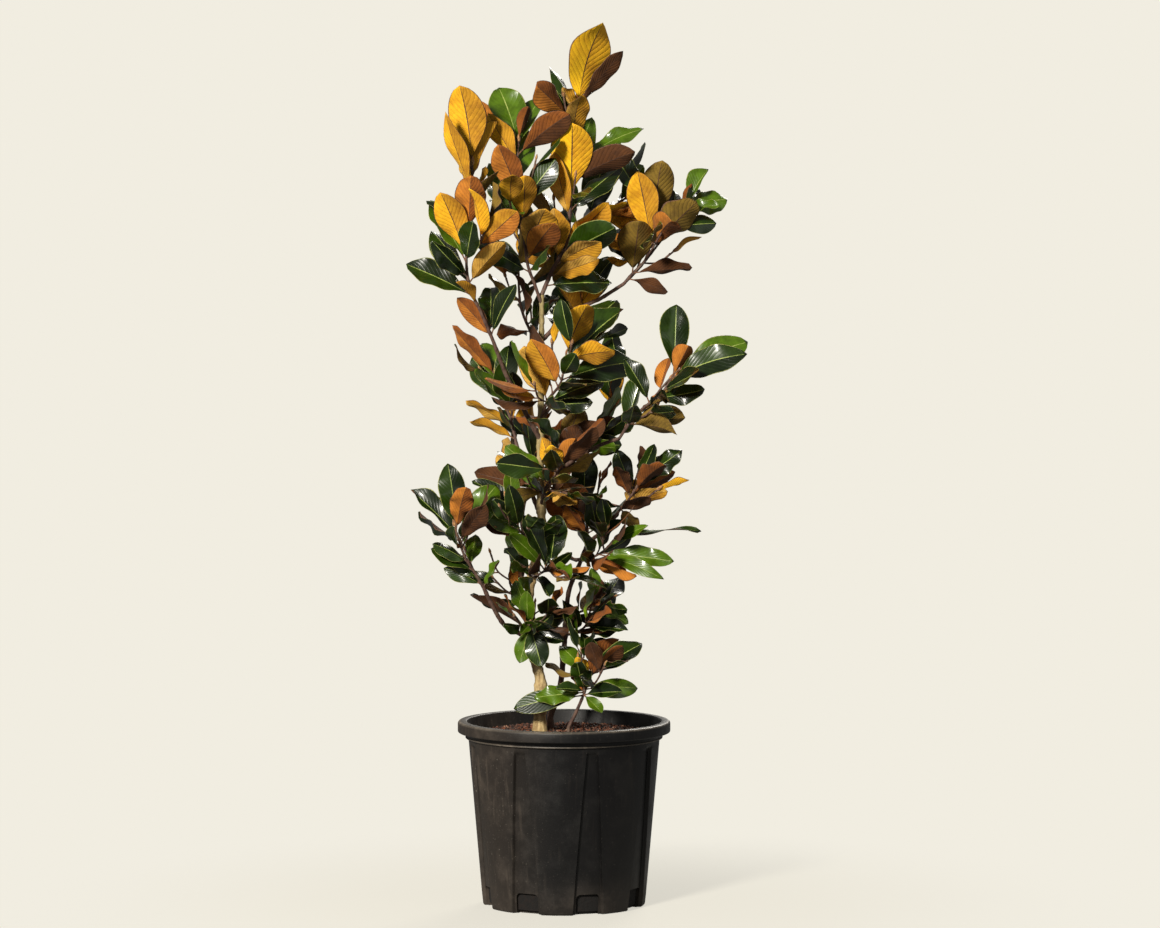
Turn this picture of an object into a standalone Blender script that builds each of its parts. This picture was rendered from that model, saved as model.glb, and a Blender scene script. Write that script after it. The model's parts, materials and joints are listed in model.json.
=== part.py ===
"""A young southern magnolia tree in a black nursery pot.

Metres, +Z up.  The origin is the middle of the pot's flat underside.
The tree faces -Y, with +X on its right hand side as seen from there.
"""

import math
import random
from typing import NamedTuple

import bmesh
import bpy
from mathutils import Vector
from mathutils.bvhtree import BVHTree

# Clearance between pieces that touch, and how near doubled points lie
CLEAR = 0.0003
WELD_DISTANCE = 0.000001

# Pot: a rolled rim on a tapering body with eight raised panels
POT_HEIGHT = 0.243
RIM_RADIUS = 0.140
RIM_ROUNDING = 0.0035
RIM_FOOT_ROUNDING = 0.0015
RIM_DEPTH = 0.0145
MOUTH_RADIUS = 0.1275
COLLAR_RADIUS = 0.1300
COLLAR_DEPTH = 0.0225
COLLAR_ROUNDING = 0.001
COLLAR_FOOT = POT_HEIGHT - COLLAR_DEPTH
BODY_TOP_RADIUS = 0.1260
BODY_FOOT_RADIUS = 0.1070
FOOT_ROUNDING = 0.003
WALL = 0.004
FLOOR = 0.004
SMOOTH_UNDER_ANGLE = 30.0

# Panels of the pot and the recesses between them, which run out under the collar
PANELS = 8
PANEL_TURN = -95.0
PANEL_COLUMNS = (-1.0, -0.5, 0.0, 0.5, 1.0)
RECESS_COLUMNS = (-1.0, 0.0, 1.0)
RECESS_DEPTH = 0.003
RECESS_TOP = COLLAR_FOOT - 0.004
RECESS_FULL = COLLAR_FOOT - 0.012
RECESS_TOP_HALF_ANGLE = 2.6
RECESS_FOOT_HALF_ANGLE = 10.5
RECESS_SLOPE_ANGLE = 1.2

# Drain notches at the foot of each recess
NOTCH_HEIGHT = 0.027
NOTCH_WIDTH = 0.027
NOTCH_DEPTH = 0.014

# Soil: flat round the stems, sloping a little to the pot's wall
SOIL_TOP = 0.229
SOIL_EDGE_DROP = 0.005
SOIL_FLAT_RADIUS = 0.095

# Leaves: stations along a blade as (share of its length, share of its half width)
LEAF_STATIONS = ((0.0, 0.05), (0.33, 0.93), (0.75, 0.84))
BLADE_FROM_STATION = 1

# Corners across a leaf as (side, level): a flat blade with a keel, and a box that holds it
LEAF_SECTION = ((-1, 1), (1, 1), (0, -1))
SPACE_SECTION = ((-1, 1), (1, 1), (1, -1), (-1, -1))
LEAF_THICKNESS = 0.0018
LEAF_WIDTH_SHARE = 0.45
LEAF_WIDTH_SCATTER = 0.12
LEAF_LENGTH_LEAST = 0.72
LEAF_LENGTH_MOST = 1.12
LEAF_BOW = 0.06
LEAF_AIR = 0.0008

# The spiral rule: where leaves stand on a shoot, and how they turn and spread
FIRST_LEAF_PLACE = 0.1
LEAF_STAGGER = 0.6
LEAF_TURN_STEP = 144.0
LEAF_TURN_SCATTER = 16.0
LEAF_SPREAD_LOW = 52.0
LEAF_SPREAD_HIGH = 24.0
LEAF_SPREAD_SCATTER = 9.0
LEAF_ROLL = 75.0
LEADING_LEAF_ROLL = 15.0
INWARD_PULL = 0.5

# A leaf that has no room is turned to one side and the other before it is left out
LEAF_TURN_TRIES = 9
LEAF_TURN_NUDGE = 19.0

# The side that a leading leaf shows to the front
UNDER = -1.0
EDGE = 0.0
UPPER = 1.0
SHOWN_PULL = 1.6

# The crown's reach round its middle, and the lowest height of a leaf grown by rule
CROWN_MIDDLE = (0.01, 0.0)
CROWN_RADIUS = 0.215
CROWN_LOWEST = 0.262

# Stems: their sides, the steps between the points of a path, and the root flare
TWIG_TIP_RADIUS = 0.0014
TWIG_SIDES = 4
BOUGH_SIDES = 6
TRUNK_SIDES = 8
LEAST_SIDES = 4
PATH_STEPS = 2
FLARE_SHARE = 0.05
FLARE_POWER = 1.5
MILLIMETRE = 0.001


class Limb(NamedTuple):
    """A bare limb: its path, foot and tip radii, and the limbs that it springs from."""

    path: tuple
    foot_radius: float
    tip_radius: float
    springs_from: tuple = ()
    flare: float = 1.0


class Shoot(NamedTuple):
    """A leafy shoot: one stem, leading leaves that give its outline, the rest by rule.

    The rule takes a usual leaf length, the compass turn of its first leaf and a count.
    A leading leaf is its place along the stem, its compass turn, its rise above level,
    its length in millimetres and the side that it shows to the front.
    """

    springs_from: tuple
    stem: tuple
    radius: float
    length: float
    turn: float
    ruled_leaves: int
    leading: tuple = ()


LIMBS = {
    "trunk": Limb(
        (
            (-0.032, 0.000, SOIL_TOP + CLEAR),
            (-0.032, 0.000, 0.250),
            (-0.031, 0.000, 0.295),
            (-0.040, -0.004, 0.333),
            (-0.046, -0.006, 0.400),
            (-0.040, -0.004, 0.443),
            (-0.030, 0.000, 0.490),
            (-0.031, 0.002, 0.560),
            (-0.030, 0.002, 0.680),
            (-0.029, 0.000, 0.803),
        ),
        0.0074,
        0.0031,
        flare=1.45,
    ),
    "stem_rear": Limb(
        (
            (-0.018, 0.040, SOIL_TOP + CLEAR),
            (-0.018, 0.040, 0.245),
            (-0.005, 0.038, 0.285),
            (0.002, 0.036, 0.363),
            (0.006, 0.038, 0.409),
            (0.018, 0.040, 0.440),
            (0.029, 0.042, 0.469),
        ),
        0.0042,
        0.0026,
        flare=1.3,
    ),
    "stem_low": Limb(
        (
            (0.006, -0.020, SOIL_TOP + CLEAR),
            (0.006, -0.020, 0.236),
            (0.014, -0.022, 0.252),
            (0.024, -0.025, 0.275),
        ),
        0.0026,
        0.0020,
        flare=1.3,
    ),
    "bough_left_low": Limb(
        (
            (-0.0405, -0.0045, 0.342),
            (-0.055, -0.019, 0.358),
            (-0.076, -0.042, 0.371),
            (-0.090, -0.060, 0.394),
            (-0.1035, -0.073, 0.423),
        ),
        0.0034,
        0.0025,
        ("trunk",),
    ),
    "bough_left_middle": Limb(
        (
            (-0.0305, 0.001, 0.512),
            (-0.044, 0.022, 0.545),
            (-0.054, 0.040, 0.572),
            (-0.064, 0.052, 0.608),
        ),
        0.0031,
        0.0024,
        ("trunk",),
    ),
    "bough_left_high": Limb(
        (
            (-0.0305, 0.002, 0.612),
            (-0.056, -0.018, 0.660),
            (-0.076, -0.036, 0.701),
            (-0.091, -0.050, 0.742),
        ),
        0.0033,
        0.0024,
        ("trunk",),
    ),
    "bough_right_high": Limb(
        (
            (-0.030, 0.001, 0.742),
            (0.008, 0.018, 0.778),
            (0.047, 0.030, 0.797),
            (0.079, 0.036, 0.817),
        ),
        0.0030,
        0.0023,
        ("trunk",),
    ),
    "bough_right_middle": Limb(
        (
            (-0.0305, 0.001, 0.540),
            (0.000, -0.022, 0.578),
            (0.042, -0.050, 0.606),
            (0.072, -0.066, 0.618),
        ),
        0.0030,
        0.0022,
        ("trunk",),
    ),
    "bough_right_low": Limb(
        (
            (0.029, 0.042, 0.469),
            (0.040, 0.034, 0.481),
            (0.056, 0.022, 0.498),
            (0.068, 0.012, 0.513),
        ),
        0.0024,
        0.0019,
        ("stem_rear",),
    ),
    "bough_back_low": Limb(
        (
            (-0.0385, -0.003, 0.450),
            (-0.050, 0.030, 0.476),
            (-0.056, 0.062, 0.500),
            (-0.052, 0.086, 0.530),
        ),
        0.0030,
        0.0022,
        ("trunk",),
    ),
    "bough_back_middle": Limb(
        (
            (-0.030, 0.002, 0.640),
            (-0.008, 0.032, 0.668),
            (0.012, 0.062, 0.694),
            (0.020, 0.080, 0.722),
        ),
        0.0029,
        0.0021,
        ("trunk",),
    ),
}

SHOOTS = {
    "leader": Shoot(
        ("trunk",),
        (
            (-0.029, 0.000, 0.803),
            (-0.014, 0.001, 0.838),
            (0.003, 0.001, 0.868),
            (0.008, 0.000, 0.914),
            (0.011, -0.001, 0.985),
            (0.018, -0.001, 1.049),
        ),
        0.0028,
        0.088,
        60,
        16,
        (
            (1.00, -27, 73, 115, UNDER),
            (0.97, 37, 51, 94, UNDER),
            (0.95, 138, 52, 82, EDGE),
            (0.94, -124, 53, 51, UNDER),
            (0.69, 17, 28, 112, UPPER),
            (0.62, -19, 22, 95, UNDER),
            (0.52, -87, 74, 109, UNDER),
            (0.46, 27, 37, 97, UPPER),
            (0.42, -133, 69, 92, UNDER),
            (0.30, -36, 33, 81, UNDER),
            (0.17, -35, 23, 80, UNDER),
        ),
    ),
    "tuft_left_inner": Shoot(
        ("trunk", "leader"),
        (
            (-0.029, 0.000, 0.790),
            (-0.040, -0.012, 0.822),
            (-0.048, -0.020, 0.847),
            (-0.055, -0.028, 0.916),
            (-0.060, -0.033, 0.975),
            (-0.059, -0.034, 1.003),
        ),
        0.0022,
        0.080,
        10,
        12,
        (
            (0.98, 140, 68, 83, UPPER),
            (1.00, -57, 62, 51, UNDER),
            (0.92, -12, 39, 88, UNDER),
            (0.86, -146, 48, 78, UNDER),
            (0.66, -130, 55, 82, UNDER),
            (0.55, 160, 59, 86, UPPER),
            (0.62, 62, 50, 76, UPPER),
            (0.33, -58, 53, 79, UNDER),
            (0.22, -61, 30, 66, UPPER),
        ),
    ),
    "tuft_left_high": Shoot(
        ("bough_left_high",),
        (
            (-0.091, -0.050, 0.742),
            (-0.108, -0.060, 0.783),
            (-0.121, -0.067, 0.812),
            (-0.126, -0.071, 0.850),
            (-0.121, -0.074, 0.908),
            (-0.118, -0.077, 0.972),
        ),
        0.0024,
        0.080,
        100,
        11,
        (
            (1.00, -133, 79, 105, UNDER),
            (0.97, 139, 51, 72, UPPER),
            (0.93, 18, 60, 82, UNDER),
            (0.84, -171, 58, 115, EDGE),
            (0.50, -138, 62, 95, UNDER),
            (0.47, 162, 50, 98, UPPER),
            (0.34, 149, 52, 94, UPPER),
            (0.28, 174, 23, 97, UPPER),
            (0.36, -27, 42, 73, UNDER),
            (0.03, -140, 55, 69, UNDER),
        ),
    ),
    "tuft_left_middle": Shoot(
        ("bough_left_middle",),
        (
            (-0.064, 0.052, 0.608),
            (-0.070, 0.060, 0.634),
            (-0.080, 0.068, 0.662),
            (-0.090, 0.074, 0.694),
        ),
        0.0023,
        0.078,
        210,
        9,
        (
            (0.98, -162, 44, 91, UNDER),
            (0.90, 145, 57, 68, UPPER),
            (0.62, 158, 43, 80, UPPER),
            (0.20, -160, 30, 76, UNDER),
        ),
    ),
    "tuft_left_low": Shoot(
        ("bough_left_low",),
        (
            (-0.1035, -0.073, 0.423),
            (-0.116, -0.082, 0.446),
            (-0.126, -0.089, 0.462),
            (-0.134, -0.095, 0.482),
            (-0.140, -0.100, 0.504),
        ),
        0.0023,
        0.072,
        0,
        4,
        (
            (1.00, 140, 79, 84, UPPER),
            (0.88, 166, 42, 86, UPPER),
            (0.97, -70, 53, 71, UNDER),
            (0.74, 28, 57, 94, UPPER),
            (0.80, -32, 39, 73, UNDER),
            (0.46, -155, 29, 56, UPPER),
            (0.12, 161, 40, 62, UPPER),
            (0.40, 81, 40, 53, UPPER),
        ),
    ),
    "tuft_trunk_low": Shoot(
        ("trunk",),
        (
            (-0.0415, -0.0045, 0.352),
            (-0.045, -0.022, 0.366),
            (-0.044, -0.036, 0.376),
        ),
        0.0019,
        0.058,
        200,
        4,
        (
            (0.45, -173, 24, 92, EDGE),
            (0.85, -110, -18, 40, UPPER),
        ),
    ),
    "tuft_trunk_middle": Shoot(
        ("trunk",),
        (
            (-0.0425, -0.0045, 0.430),
            (-0.030, -0.032, 0.440),
            (-0.018, -0.054, 0.449),
        ),
        0.0020,
        0.076,
        150,
        7,
        (
            (1.00, 140, 48, 84, UPPER),
            (0.70, 60, 52, 70, UPPER),
            (0.75, -160, 45, 70, UPPER),
            (0.90, 125, 60, 80, UPPER),
        ),
    ),
    "tuft_front": Shoot(
        ("trunk", "bough_right_middle"),
        (
            (-0.0305, 0.001, 0.527),
            (-0.026, -0.034, 0.545),
            (-0.016, -0.070, 0.560),
            (-0.006, -0.100, 0.584),
        ),
        0.0021,
        0.074,
        80,
        7,
        (
            (0.95, -24, 42, 76, UNDER),
            (0.75, -30, 30, 74, UNDER),
            (0.85, -95, 42, 60, UNDER),
            (0.60, 165, 38, 78, UPPER),
            (0.40, -150, -10, 60, UNDER),
        ),
    ),
    "tuft_front_high": Shoot(
        ("trunk",),
        (
            (-0.030, 0.002, 0.640),
            (-0.020, -0.034, 0.668),
            (-0.004, -0.064, 0.690),
            (0.003, -0.084, 0.728),
        ),
        0.0022,
        0.078,
        130,
        9,
        (
            (1.00, -42, 60, 75, UNDER),
            (0.95, -25, 8, 71, UNDER),
            (0.88, 17, 42, 108, UPPER),
            (0.70, 16, 15, 105, UPPER),
            (0.30, -140, 62, 84, UNDER),
            (0.60, -150, 55, 74, UNDER),
            (0.45, 0, 35, 84, UPPER),
        ),
    ),
    "tuft_right_high": Shoot(
        ("bough_right_high",),
        (
            (0.079, 0.036, 0.817),
            (0.092, 0.038, 0.832),
            (0.108, 0.040, 0.850),
            (0.119, 0.041, 0.888),
        ),
        0.0022,
        0.086,
        40,
        11,
        (
            (1.00, -62, 78, 94, UNDER),
            (0.80, -144, 69, 97, UNDER),
            (0.70, -18, 40, 88, UNDER),
            (0.20, -77, 62, 80, UNDER),
            (0.04, -10, 8, 92, UNDER),
            (0.90, 120, 66, 84, UPPER),
        ),
    ),
    "tuft_right_far": Shoot(
        ("bough_right_high", "tuft_right_high"),
        (
            (0.079, 0.036, 0.817),
            (0.100, 0.052, 0.838),
            (0.130, 0.060, 0.876),
            (0.150, 0.060, 0.905),
            (0.163, 0.060, 0.921),
        ),
        0.0018,
        0.070,
        300,
        9,
        (
            (1.00, 21, 59, 56, UPPER),
            (0.96, 15, 11, 60, UPPER),
            (0.93, -22, -12, 56, UPPER),
            (0.90, -52, 55, 44, UNDER),
            (0.80, 150, 62, 66, UPPER),
        ),
    ),
    "tuft_right_middle": Shoot(
        ("bough_right_middle",),
        (
            (0.072, -0.066, 0.618),
            (0.092, -0.076, 0.648),
            (0.110, -0.084, 0.664),
            (0.128, -0.090, 0.680),
            (0.143, -0.094, 0.704),
        ),
        0.0021,
        0.074,
        240,
        6,
        (
            (0.98, 80, 77, 90, UPPER),
            (1.00, 9, 24, 105, UPPER),
            (0.93, -14, 20, 104, UPPER),
            (0.97, -62, 51, 47, UNDER),
            (0.76, -24, 18, 76, UPPER),
            (0.40, -10, 21, 66, UNDER),
            (0.10, 30, 66, 78, UPPER),
            (0.22, -19, 3, 74, UNDER),
            (0.55, 170, 60, 66, UPPER),
        ),
    ),
    "tuft_rear_top": Shoot(
        ("stem_rear", "bough_right_low"),
        (
            (0.029, 0.042, 0.469),
            (0.031, 0.036, 0.492),
            (0.026, 0.032, 0.520),
        ),
        0.0021,
        0.074,
        30,
        9,
        (
            (0.80, -158, 61, 84, UNDER),
            (0.30, -125, 40, 62, UNDER),
            (0.90, 126, 73, 82, UPPER),
            (0.45, -11, 19, 62, UPPER),
        ),
    ),
    "tuft_right_low": Shoot(
        ("bough_right_low",),
        (
            (0.068, 0.012, 0.513),
            (0.080, 0.004, 0.528),
            (0.090, -0.002, 0.542),
            (0.098, -0.006, 0.556),
        ),
        0.0018,
        0.066,
        110,
        8,
        (
            (1.00, 9, 34, 72, UPPER),
            (0.80, -16, 30, 74, UNDER),
            (0.60, -66, 50, 54, UNDER),
            (0.12, -46, 28, 68, UNDER),
            (0.30, -36, 20, 62, UNDER),
            (0.95, 50, 63, 58, UPPER),
            (0.75, 140, 58, 60, UPPER),
        ),
    ),
    "tuft_rear_right": Shoot(
        ("stem_rear",),
        (
            (0.0215, 0.0405, 0.450),
            (0.036, 0.020, 0.456),
            (0.052, 0.008, 0.466),
            (0.066, 0.000, 0.482),
        ),
        0.0019,
        0.070,
        200,
        9,
        (
            (0.95, 3, 7, 118, EDGE),
            (0.60, -4, -8, 98, UPPER),
            (0.80, 20, 24, 74, UPPER),
            (0.50, -100, 55, 60, UPPER),
            (0.90, 60, 50, 66, UPPER),
        ),
    ),
    "tuft_rear_middle": Shoot(
        ("stem_rear",),
        (
            (0.002, 0.036, 0.352),
            (0.014, 0.010, 0.358),
            (0.026, -0.008, 0.366),
            (0.034, -0.016, 0.378),
        ),
        0.0017,
        0.062,
        320,
        10,
        (
            (0.85, -70, 62, 62, UPPER),
            (0.90, 30, 40, 56, UPPER),
            (0.60, -60, -40, 52, UPPER),
        ),
    ),
    "tuft_left_front": Shoot(
        ("trunk",),
        (
            (-0.033, -0.001, 0.476),
            (-0.046, -0.030, 0.486),
            (-0.058, -0.054, 0.498),
            (-0.064, -0.072, 0.520),
        ),
        0.0019,
        0.072,
        90,
        8,
        (
            (0.70, -140, 50, 74, UNDER),
            (0.50, -165, 30, 66, UPPER),
            (0.95, 60, 56, 66, UPPER),
        ),
    ),
    "tuft_back_top": Shoot(
        ("leader",),
        (
            (0.005, 0.0007, 0.885),
            (0.030, 0.034, 0.902),
            (0.052, 0.056, 0.924),
            (0.066, 0.064, 0.950),
        ),
        0.0018,
        0.080,
        30,
        12,
    ),
    "tuft_rear_low": Shoot(
        ("stem_rear",),
        (
            (0.003, 0.0365, 0.372),
            (0.020, 0.020, 0.384),
            (0.038, 0.010, 0.390),
            (0.050, 0.004, 0.392),
        ),
        0.0017,
        0.060,
        20,
        8,
        (
            (0.90, 52, 49, 42, UPPER),
            (1.00, -9, 28, 70, UPPER),
            (0.80, -44, 30, 44, UPPER),
            (0.92, -28, -20, 46, UPPER),
            (0.40, -70, 60, 50, UPPER),
        ),
    ),
    "tuft_low": Shoot(
        ("stem_low",),
        (
            (0.024, -0.025, 0.275),
            (0.030, -0.031, 0.292),
            (0.034, -0.036, 0.306),
        ),
        0.0018,
        0.060,
        70,
        6,
        (
            (0.90, -25, 44, 66, UNDER),
            (0.95, 10, 26, 88, UPPER),
            (0.85, 151, 46, 62, UPPER),
            (0.60, -133, 50, 48, UNDER),
            (0.40, 8, 2, 70, UPPER),
            (0.25, 178, -8, 66, UPPER),
            (0.15, -30, 4, 62, UPPER),
        ),
    ),
    "tuft_back_low": Shoot(
        ("bough_back_low",),
        (
            (-0.052, 0.086, 0.530),
            (-0.046, 0.100, 0.558),
            (-0.036, 0.108, 0.590),
        ),
        0.0021,
        0.080,
        60,
        9,
    ),
    "tuft_back_middle": Shoot(
        ("bough_back_middle",),
        (
            (0.020, 0.080, 0.722),
            (0.024, 0.094, 0.752),
            (0.022, 0.104, 0.792),
            (0.014, 0.110, 0.828),
        ),
        0.0020,
        0.082,
        15,
        11,
    ),
    "tuft_back_high": Shoot(
        ("trunk",),
        (
            (-0.0295, 0.001, 0.722),
            (-0.046, 0.030, 0.758),
            (-0.058, 0.058, 0.790),
            (-0.060, 0.070, 0.842),
            (-0.054, 0.074, 0.888),
        ),
        0.0022,
        0.082,
        350,
        11,
    ),
    "tuft_back_right": Shoot(
        ("trunk",),
        (
            (-0.030, 0.001, 0.586),
            (0.000, 0.034, 0.608),
            (0.034, 0.060, 0.620),
            (0.056, 0.070, 0.644),
            (0.064, 0.074, 0.676),
        ),
        0.0022,
        0.076,
        280,
        10,
    ),
    "tuft_back_foot": Shoot(
        ("trunk",),
        (
            (-0.0455, -0.006, 0.390),
            (-0.064, 0.018, 0.408),
            (-0.072, 0.040, 0.424),
            (-0.070, 0.056, 0.448),
        ),
        0.0020,
        0.066,
        160,
        8,
    ),
}


def clear_scene():
    """Removes whatever the scene holds."""
    for item in list(bpy.data.objects):
        bpy.data.objects.remove(item, do_unlink=True)


def new_collection(name):
    """A new collection in the scene."""
    group = bpy.data.collections.new(name)
    bpy.context.scene.collection.children.link(group)
    return group


def empty_collection(group):
    """Removes the objects that a collection holds."""
    for item in list(group.objects):
        bpy.data.objects.remove(item, do_unlink=True)


def material(name, colour, roughness, metallic=0.0):
    """A plain Principled material."""
    made = bpy.data.materials.new(name)
    made.use_nodes = True
    shader = made.node_tree.nodes["Principled BSDF"]
    shader.inputs["Base Color"].default_value = (*colour, 1.0)
    shader.inputs["Roughness"].default_value = roughness
    shader.inputs["Metallic"].default_value = metallic
    return made


def black_plastic():
    """The pot's dull black moulded plastic."""
    return material("black_plastic", (0.012, 0.011, 0.010), 0.45)


def bark_mulch():
    """The reddish brown compost."""
    return material("bark_mulch", (0.075, 0.030, 0.014), 0.95)


def old_bark():
    """The tan bark of the trunk."""
    return material("old_bark", (0.42, 0.30, 0.17), 0.8)


def young_bark():
    """The dark bark of the boughs and the younger stems."""
    return material("young_bark", (0.075, 0.035, 0.028), 0.7)


def foliage():
    """The dark glossy green of the leaves."""
    return material("foliage", (0.03, 0.09, 0.02), 0.35)


def mesh_object(name, vertices, faces, group):
    """A new object made from vertices and faces."""
    mesh = bpy.data.meshes.new(name)
    mesh.from_pydata(vertices, [], faces)
    mesh.update()
    made = bpy.data.objects.new(name, mesh)
    group.objects.link(made)
    return made


def smooth_shaded(item):
    """Shades an object smooth, apart from its true edges."""
    item.data.shade_smooth()
    item.data.set_sharp_from_angle(angle=math.radians(SMOOTH_UNDER_ANGLE))


def evaluated_mesh(item):
    """A copy of an object's mesh with its modifiers carried out."""
    evaluated = item.evaluated_get(bpy.context.evaluated_depsgraph_get())
    return bpy.data.meshes.new_from_object(evaluated)


def weld(mesh):
    """Joins a mesh's doubled points and turns its faces outwards."""
    work = bmesh.new()
    work.from_mesh(mesh)
    bmesh.ops.remove_doubles(work, verts=work.verts, dist=WELD_DISTANCE)
    bmesh.ops.recalc_face_normals(work, faces=work.faces)
    work.to_mesh(mesh)
    work.free()


def drop_scraps(mesh):
    """Keeps a mesh's largest shell: loose scraps go, and sealed hollows are filled."""
    work = bmesh.new()
    work.from_mesh(mesh)
    unseen = set(work.faces)
    shells = []
    while unseen:
        shell = [unseen.pop()]
        for face in shell:
            for edge in face.edges:
                for other in edge.link_faces:
                    if other in unseen:
                        unseen.remove(other)
                        shell.append(other)
        shells.append(shell)
    shells.sort(key=lambda shell: sum(face.calc_area() for face in shell))
    for shell in shells[:-1]:
        bmesh.ops.delete(work, geom=shell, context="FACES")
    work.to_mesh(mesh)
    work.free()


def apply_boolean(item, operation, group=None, cutter=None, solver="EXACT"):
    """Cuts or joins an object with a collection or another object, for good."""
    boolean = item.modifiers.new("boolean", "BOOLEAN")
    boolean.operation = operation
    boolean.solver = solver
    if group:
        boolean.operand_type = "COLLECTION"
        boolean.collection = group
    else:
        boolean.object = cutter
    mesh = evaluated_mesh(item)
    item.modifiers.clear()
    item.data = mesh


def tree_of(item):
    """A search tree over an object's faces, in world space."""
    points = [item.matrix_world @ vertex.co for vertex in item.data.vertices]
    faces = [tuple(face.vertices) for face in item.data.polygons]
    return BVHTree.FromPolygons(points, faces)


def smooth_path(points):
    """A smooth curve through the points, by the Catmull-Rom rule."""
    knots = [Vector(point) for point in points]
    ends = [2 * knots[0] - knots[1], *knots, 2 * knots[-1] - knots[-2]]
    curve = []
    for before, start, stop, after in zip(ends, ends[1:], ends[2:], ends[3:]):
        for step in range(PATH_STEPS):
            share = step / PATH_STEPS
            bend = 2 * before - 5 * start + 4 * stop - after
            twist = 3 * start - before - 3 * stop + after
            slope = (stop - before) * share
            curve.append(start + (slope + bend * share**2 + twist * share**3) / 2)
    curve.append(knots[-1])
    return curve


def path_shares(path):
    """How far along its own length each point of a path lies."""
    run = [0.0]
    for start, stop in zip(path, path[1:]):
        run.append(run[-1] + (stop - start).length)
    return [length / run[-1] for length in run]


def point_on(path, share):
    """The point and the direction at a share of a path's length."""
    shares = path_shares(path)
    for index in range(len(path) - 1):
        if share <= shares[index + 1] or index == len(path) - 2:
            span = shares[index + 1] - shares[index]
            part = (share - shares[index]) / span
            direction = (path[index + 1] - path[index]).normalized()
            return path[index].lerp(path[index + 1], part), direction


def limb_radii(path, foot_radius, tip_radius, flare):
    """A steady taper, with a root flare that dies out over the limb's lowest part."""
    radii = []
    for share in path_shares(path):
        radius = foot_radius + (tip_radius - foot_radius) * share
        swell = 1 + (flare - 1) * max(0.0, 1 - share / FLARE_SHARE) ** FLARE_POWER
        radii.append(radius * swell)
    return radii


def tube(name, path, radii, sides, group):
    """A closed tapering tube along a path, with two sides for each step of its bevel."""
    curve = bpy.data.curves.new(name, "CURVE")
    curve.dimensions = "3D"
    curve.bevel_depth = 1.0
    curve.bevel_resolution = (sides - LEAST_SIDES) // 2
    curve.use_fill_caps = True
    spline = curve.splines.new("POLY")
    spline.points.add(len(path) - 1)
    for point, place, radius in zip(spline.points, path, radii):
        point.co = (*place, 1.0)
        point.radius = radius
    drawn = bpy.data.objects.new(name, curve)
    group.objects.link(drawn)
    mesh = evaluated_mesh(drawn)
    weld(mesh)
    made = bpy.data.objects.new(name, mesh)
    made.matrix_world = drawn.matrix_world
    group.objects.link(made)
    bpy.data.objects.remove(drawn)
    bpy.data.curves.remove(curve)
    made.name = name
    return made


def grown(path, radii, extra):
    """A path and radii made larger all round, ends too."""
    start = path[0] - (path[1] - path[0]).normalized() * extra
    stop = path[-1] + (path[-1] - path[-2]).normalized() * extra
    return [start, *path[1:-1], stop], [radius + extra for radius in radii]


def cut_clear(item, bodies, names, cutters):
    """Trims an object clear of the limbs that it springs from."""
    for name in names:
        path, radii, sides = bodies[name]
        cutter = tube("limb_cutter", *grown(path, radii, CLEAR), sides, cutters)
        apply_boolean(item, "DIFFERENCE", cutter=cutter)
        empty_collection(cutters)
    drop_scraps(item.data)


def recess_half_angle(height):
    """Half the angle of the recess between two panels, wider towards the foot."""
    share = min(height / COLLAR_FOOT, 1.0)
    return RECESS_FOOT_HALF_ANGLE + (RECESS_TOP_HALF_ANGLE - RECESS_FOOT_HALF_ANGLE) * share


def body_radius(height):
    """The outer radius of the pot's body at a height."""
    return BODY_FOOT_RADIUS + (BODY_TOP_RADIUS - BODY_FOOT_RADIUS) * height / COLLAR_FOOT


def panel_ring(height, radius, depth=0.0):
    """One level ring of the pot, pushed in by a depth between its panels."""
    points = []
    panel_angle = 360.0 / PANELS
    recess_half = recess_half_angle(height)
    panel_half = panel_angle / 2 - recess_half - RECESS_SLOPE_ANGLE
    for panel in range(PANELS):
        middle = PANEL_TURN + panel * panel_angle
        edge = middle + panel_angle / 2
        columns = [(middle + panel_half * column, radius) for column in PANEL_COLUMNS]
        columns += [(edge + recess_half * column, radius - depth) for column in RECESS_COLUMNS]
        for angle, reach in columns:
            turn = math.radians(angle)
            points.append((reach * math.cos(turn), reach * math.sin(turn), height))
    return points


def skinned_rings(name, rings, group):
    """A closed solid skinned over rings of points, from its first ring to its last."""
    work = bmesh.new()
    loops = [[work.verts.new(point) for point in ring] for ring in rings]
    for first, second in zip(loops, loops[1:]):
        rising = second[0].co.z > first[0].co.z
        for index in range(len(first)):
            after = (index + 1) % len(first)
            if rising:
                work.faces.new((first[index], first[after], second[after]))
                work.faces.new((first[index], second[after], second[index]))
            else:
                work.faces.new((first[index], first[after], second[index]))
                work.faces.new((first[after], second[after], second[index]))
    for loop in (loops[0], loops[-1]):
        middle = work.verts.new((0.0, 0.0, loop[0].co.z))
        for index in range(len(loop)):
            work.faces.new((loop[index], loop[(index + 1) % len(loop)], middle))
    bmesh.ops.recalc_face_normals(work, faces=work.faces)
    mesh = bpy.data.meshes.new(name)
    work.to_mesh(mesh)
    work.free()
    made = bpy.data.objects.new(name, mesh)
    group.objects.link(made)
    return made


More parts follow.
